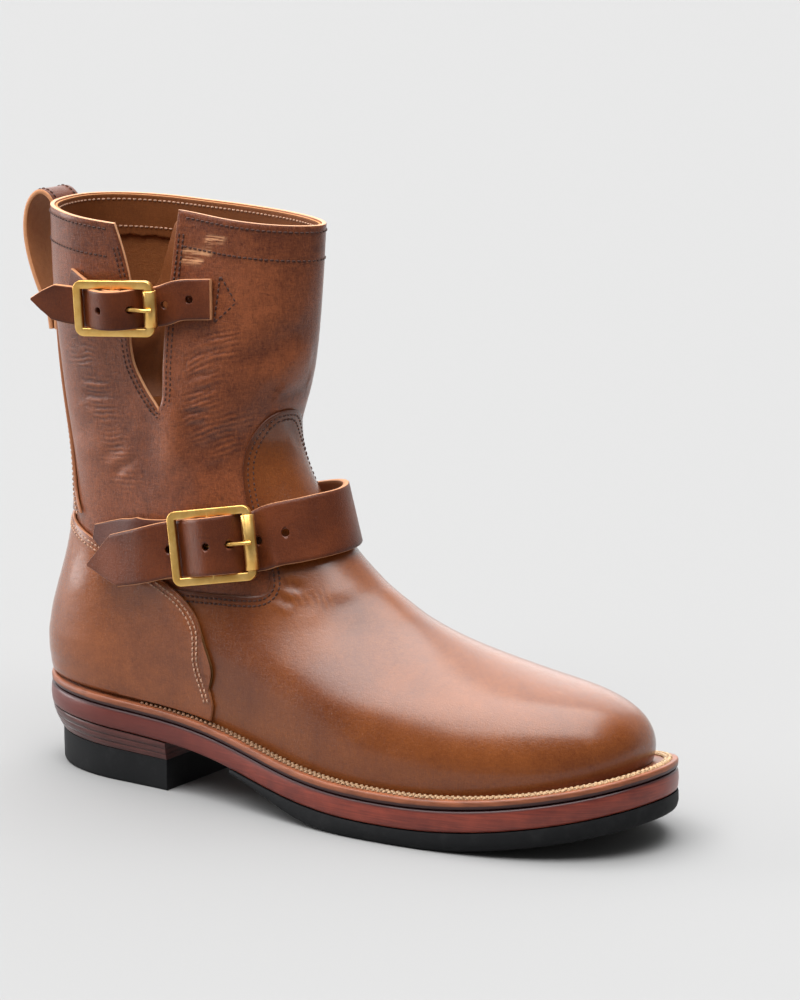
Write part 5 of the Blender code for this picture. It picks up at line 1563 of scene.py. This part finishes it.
instep_seat, top_seat = Seat(INSTEP_SEAT), Seat(TOP_SEAT)
Fastening = namedtuple("Fastening", "prefix seat strap holes chape chape_leather")
FASTENINGS = [
    # The instep chape takes the darker copy of the strap leather, which is painted shade.
    Fastening("instep", instep_seat, INSTEP_STRAP, INSTEP_HOLES, INSTEP_CHAPE, chape_leather),
    Fastening("top", top_seat, TOP_STRAP, TOP_HOLES, TOP_CHAPE, strap_leather),
]
for item in FASTENINGS:
    strap = strip_along(*strap_line(item.strap, item.seat), 420)
    prong_hole = rods([item.seat.at(3.0, 0.0, 2.4)], [item.seat.at(14.0, 0.0, 3.8)], HOLE_RADIUS)
    add_piece(
        f"strap_{item.prefix}_band",
        strip_sheet(strap, STRAP_THICK),
        strap_leather,
        replaces=[f"strap_{item.prefix}"],
        cut=merge([strap_holes(strap, item.holes), prong_hole]),
    )
    if item.prefix == "instep":
        add_seam("strap_end_stitches", sewn_end(strap, STRAP_THICK), dark_thread)
    slot_box = np.array([[item.seat.at(a, c, o) for a, c in CHAPE_SLOT] for o in (-5.5, 5.5)])
    add_piece(
        f"chape_{item.prefix}_band",
        strip_sheet(strip_along(*strap_line(item.chape, item.seat), 260), CHAPE_THICK),
        item.chape_leather,
        replaces=[f"chape_{item.prefix}"],
        cut=tube(slot_box),
    )

# Buckles. Each is a cast brass frame with a middle bar, a loose roller on its front side and a bent wire
# prong hooked round the bar.

FRAME_CORNER, CORNER_STEPS = 2.1, 9
BRASS_DARK, BRASS_LIGHT = (0.86, 0.49, 0.125, 1.0), (0.98, 0.63, 0.21, 1.0)


def squarish(value):
    """A sine or cosine drawn out towards 1 and -1, which turns a circle into a rounded square."""
    return np.sign(value) * np.abs(value) ** 0.28


def brass_look():
    """Polished brass with handling wear: slow changes of tone and gloss and fine scratches."""
    made, shader, start, where = finish("brass_look", 0.25, metallic=1.0)
    wear = start.noise(where, 160.0, 4.0, 0.6)
    scratch = start.noise(start.stretched(where, (400.0, 400.0, 2600.0)), 1.0, 3.0, 0.7)
    join(shader, "Base Color", wear.between(0.3, 0.7).mix(BRASS_DARK, BRASS_LIGHT))
    join(shader, "Roughness", 0.26 + wear * 0.12 + scratch * 0.08)
    join(shader, "Normal", start.bump(0.2, 0.05, scratch))
    return made


brass = brass_look()
for item in FASTENINGS:
    seat = item.seat
    quarters = [np.linspace(90.0 * i, 90.0 * i + 90.0, CORNER_STEPS) for i in range(4)]
    turn = np.radians(np.concatenate(quarters))
    sign_along = np.repeat([1, -1, -1, 1], CORNER_STEPS)
    sign_across = np.repeat([1, 1, -1, -1], CORNER_STEPS)
    round_bar = full_turn(24)
    reach = FRAME_CORNER + FRAME_WIDTH / 2 * squarish(np.cos(round_bar))
    high = FRAME_DEPTH / 2 * squarish(np.sin(round_bar))
    along = ((seat.half_length - FRAME_CORNER) * sign_along)[:, None] + np.cos(turn)[:, None] * reach
    across = ((seat.half_height - FRAME_CORNER) * sign_across)[:, None] + np.sin(turn)[:, None] * reach
    frame_ring = tube(seat.at(along, across, np.broadcast_to(high, along.shape)), ring=True)
    bar = rods([seat.at(0.0, -seat.half_height, 0.0)], [seat.at(0.0, seat.half_height, 0.0)], BAR_RADIUS)
    add_piece(
        f"frame_{item.prefix}_cast",
        merge([frame_ring, bar]),
        brass,
        replaces=[f"buckle_{item.prefix}_frame"],
    )
    end = seat.half_height - FRAME_CORNER - 0.3
    roller_across = np.array([-end, -end + 0.3, end - 0.3, end, end, -end])
    rim = ROLLER_RADIUS - 0.3
    roller_radius = np.array([rim, ROLLER_RADIUS, ROLLER_RADIUS, rim, ROLLER_BORE, ROLLER_BORE])
    spin = full_turn(40)[:, None]
    roller_along = seat.half_length + roller_radius * np.cos(spin)
    roller_across = np.broadcast_to(roller_across, roller_along.shape)
    add_piece(
        f"roller_{item.prefix}_sleeve",
        tube(seat.at(roller_along, roller_across, roller_radius * np.sin(spin)), ring=True),
        brass,
        replaces=[f"buckle_{item.prefix}_roller"],
    )
    eye = BAR_RADIUS + GAP + PRONG_RADIUS
    rest = ROLLER_RADIUS + GAP + PRONG_RADIUS
    hook = np.radians([-60.0, -100.0, -140.0, -180.0, -220.0, -260.0, -290.0])
    on_roller = seat.half_length + np.array([-2.4, 0.4, 2.4])
    prong_along = np.concatenate([eye * np.cos(hook), [5.0, 10.0], on_roller])
    prong_out = np.concatenate([eye * np.sin(hook), [2.5, 3.0, rest, rest + 0.1, rest - 0.6]])
    knots = run_along(np.column_stack([prong_along, prong_out]))
    at = np.linspace(0.0, knots[-1], 90)
    along, out = natural_spline(knots, prong_along)(at), natural_spline(knots, prong_out)(at)
    line = seat.at(along, np.zeros_like(at), out)
    ahead = unit(np.gradient(line, axis=0))
    side = np.broadcast_to(seat.across, line.shape)
    lift = np.cross(ahead, side)
    to_end = np.minimum(at, at[-1] - at)
    thin = PRONG_RADIUS * np.sqrt(np.clip(1 - (1 - np.clip(to_end / 1.0, 0.02, 1.0)) ** 2, 0.0, 1.0))
    thin = thin * (1 - 0.25 * smoothstep(at / at[-1]))
    spin = full_turn(14)
    rings = line[:, None] + thin[:, None, None] * (
        side[:, None] * np.cos(spin)[None, :, None] + lift[:, None] * np.sin(spin)[None, :, None]
    )
    add_piece(
        f"prong_{item.prefix}_wire",
        tube(rings),
        brass,
        replaces=[f"buckle_{item.prefix}_prong"],
    )

# Pull loop. A doubled strip of strap leather at the back of the collar, for a finger to pull on, with a
# row of dark thread inside each edge.

PULL_WIDTH, PULL_THICK, PULL_SEAM = 18.0, 2.2, 2.2
LoopPoint = namedtuple("LoopPoint", "x z")
PULL_LOOP = [
    LoopPoint(1.0, 190.0), LoopPoint(0.6, 202.0), LoopPoint(1.0, 216.0), LoopPoint(1.6, 231.0),
    LoopPoint(1.2, 241.5), LoopPoint(-1.6, 247.4), LoopPoint(-6.4, 249.6), LoopPoint(-11.6, 246.6),
    LoopPoint(-14.8, 239.6), LoopPoint(-15.2, 229.4), LoopPoint(-12.2, 217.0), LoopPoint(-7.2, 205.4),
    LoopPoint(-3.4, 197.6), LoopPoint(-1.9, 190.0),
]
pull_points = np.array([(point.x, 0.0, point.z) for point in PULL_LOOP])
pull_ups = np.tile([0.0, -1.0, 0.0], (len(PULL_LOOP), 1))
pull_strip = strip_along(pull_points, pull_ups, np.full(len(PULL_LOOP), PULL_WIDTH), 200)
add_piece(
    "pull_loop_band",
    strip_sheet(pull_strip, PULL_THICK),
    strap_leather,
    replaces=["pull_loop"],
)
pull_row = 0.5 - PULL_SEAM / PULL_WIDTH
pull_rows = [strip_row(pull_strip, across, PULL_THICK) for across in (-pull_row, pull_row)]
add_seam("pull_loop_stitches", pull_rows, dark_thread)

# Stage. A plain pale floor under plain soft studio light, seen from the photograph's angle. The light is
# a dome with a few soft bright fields.

VIEW_AZIMUTH, VIEW_ELEVATION, VIEW_DISTANCE = math.radians(33.88), math.radians(12.41), 1700.0
VIEW_TARGET = np.array([140.0, 0.0, 110.0])
FOCAL_PIXELS, IMAGE_WIDTH, IMAGE_HEIGHT = 4010.2, 800, 1000
TARGET_PIXEL = (332.17, 541.97)
view_right = np.array([math.cos(VIEW_AZIMUTH), math.sin(VIEW_AZIMUTH), 0.0])
view_back = np.array(
    [
        math.sin(VIEW_AZIMUTH) * math.cos(VIEW_ELEVATION),
        -math.cos(VIEW_AZIMUTH) * math.cos(VIEW_ELEVATION),
        math.sin(VIEW_ELEVATION),
    ]
)
camera = bpy.data.objects.new("camera", bpy.data.cameras.new("camera"))
bpy.context.scene.collection.objects.link(camera)
camera.location = (VIEW_TARGET + view_back * VIEW_DISTANCE - ORIGIN) * MM
camera.rotation_euler = (math.pi / 2 - VIEW_ELEVATION, 0.0, VIEW_AZIMUTH)
camera.data.sensor_width = 36.0
camera.data.lens = FOCAL_PIXELS * camera.data.sensor_width / IMAGE_HEIGHT
camera.data.shift_x = (IMAGE_WIDTH / 2 - TARGET_PIXEL[0]) / IMAGE_HEIGHT
camera.data.shift_y = (TARGET_PIXEL[1] - IMAGE_HEIGHT / 2) / IMAGE_HEIGHT
bpy.context.scene.camera = camera

FLOOR_GREY = (0.278, 0.278, 0.278, 1.0)
floor_mesh = bpy.data.meshes.new("floor")
level_back = unit(np.array([view_back[0], view_back[1], 0.0]))
FloorCorner = namedtuple("FloorCorner", "right near")
FLOOR = [
    FloorCorner(-9000, -14000), FloorCorner(-900, 60), FloorCorner(-900, 1050), FloorCorner(-250, 300),
    FloorCorner(760, 300), FloorCorner(9000, -14000),
]
floor_plan = [VIEW_TARGET * (1, 1, 0) + view_right * c.right + level_back * c.near for c in FLOOR]
floor_points = ((np.array(floor_plan) - ORIGIN) * MM).tolist()
floor_mesh.from_pydata(floor_points, [], [tuple(range(len(FLOOR)))])
floor_paint, floor_shader, *_ = finish("pale_floor", 0.9)
floor_shader.inputs["Base Color"].default_value = FLOOR_GREY
floor_shader.inputs["Specular IOR Level"].default_value = 0.0
floor_mesh.materials.append(floor_paint)
floor = bpy.data.objects.new("floor", floor_mesh)
bpy.context.scene.collection.objects.link(floor)

world = bpy.data.worlds.new("studio")
world.use_nodes = True
bpy.context.scene.world = world
dome = Shade(world.node_tree)
sky = dome.node("ShaderNodeTexCoord", output="Generated")


def toward(direction):
    """How far a direction of the dome points along another: their dot product."""
    sockets = {0: sky, 1: tuple(direction)}
    return dome.node("ShaderNodeVectorMath", sockets, output="Value", operation="DOT_PRODUCT")


# A wide softbox overhead, a weaker one high at the back, a pale wall behind the boot, a small softbox
# low at the left and a dim room on the near side.
left_low = unit(-0.95 * view_right - 0.30 * level_back + np.array([0.0, 0.0, 0.16]))
high_back = unit(np.array([0.0, 0.0, 0.55]) - 0.83 * level_back)
WALL_LIGHT, OVERHEAD_LIGHT, BACK_LIGHT, LEFT_LIGHT, ROOM_LIGHT = 0.54, 6.8, 1.6, 5.6, 0.22
overhead_part = 1.0 - abs(toward(view_right) + 0.12).between(0.40, 0.60)
overhead_part = overhead_part * (1.0 - abs(toward(level_back) - 0.05).between(0.40, 0.62))
overhead_part = overhead_part * toward((0.0, 0.0, 1.0)).between(0.1, 0.35)
wall_part = 1.0 - toward(level_back).between(-0.55, 0.0)
light_level = (
    ROOM_LIGHT
    + wall_part * WALL_LIGHT
    + overhead_part * OVERHEAD_LIGHT
    + toward(high_back).between(0.80, 0.93) * BACK_LIGHT
    + toward(left_low).between(0.92, 0.98) * LEFT_LIGHT
)
background = world.node_tree.nodes["Background"]
background.inputs["Color"].default_value = (1.0, 1.0, 1.0, 1.0)
world.node_tree.links.new(light_level.socket, background.inputs["Strength"])
bpy.context.scene.view_settings.view_transform = "Standard"
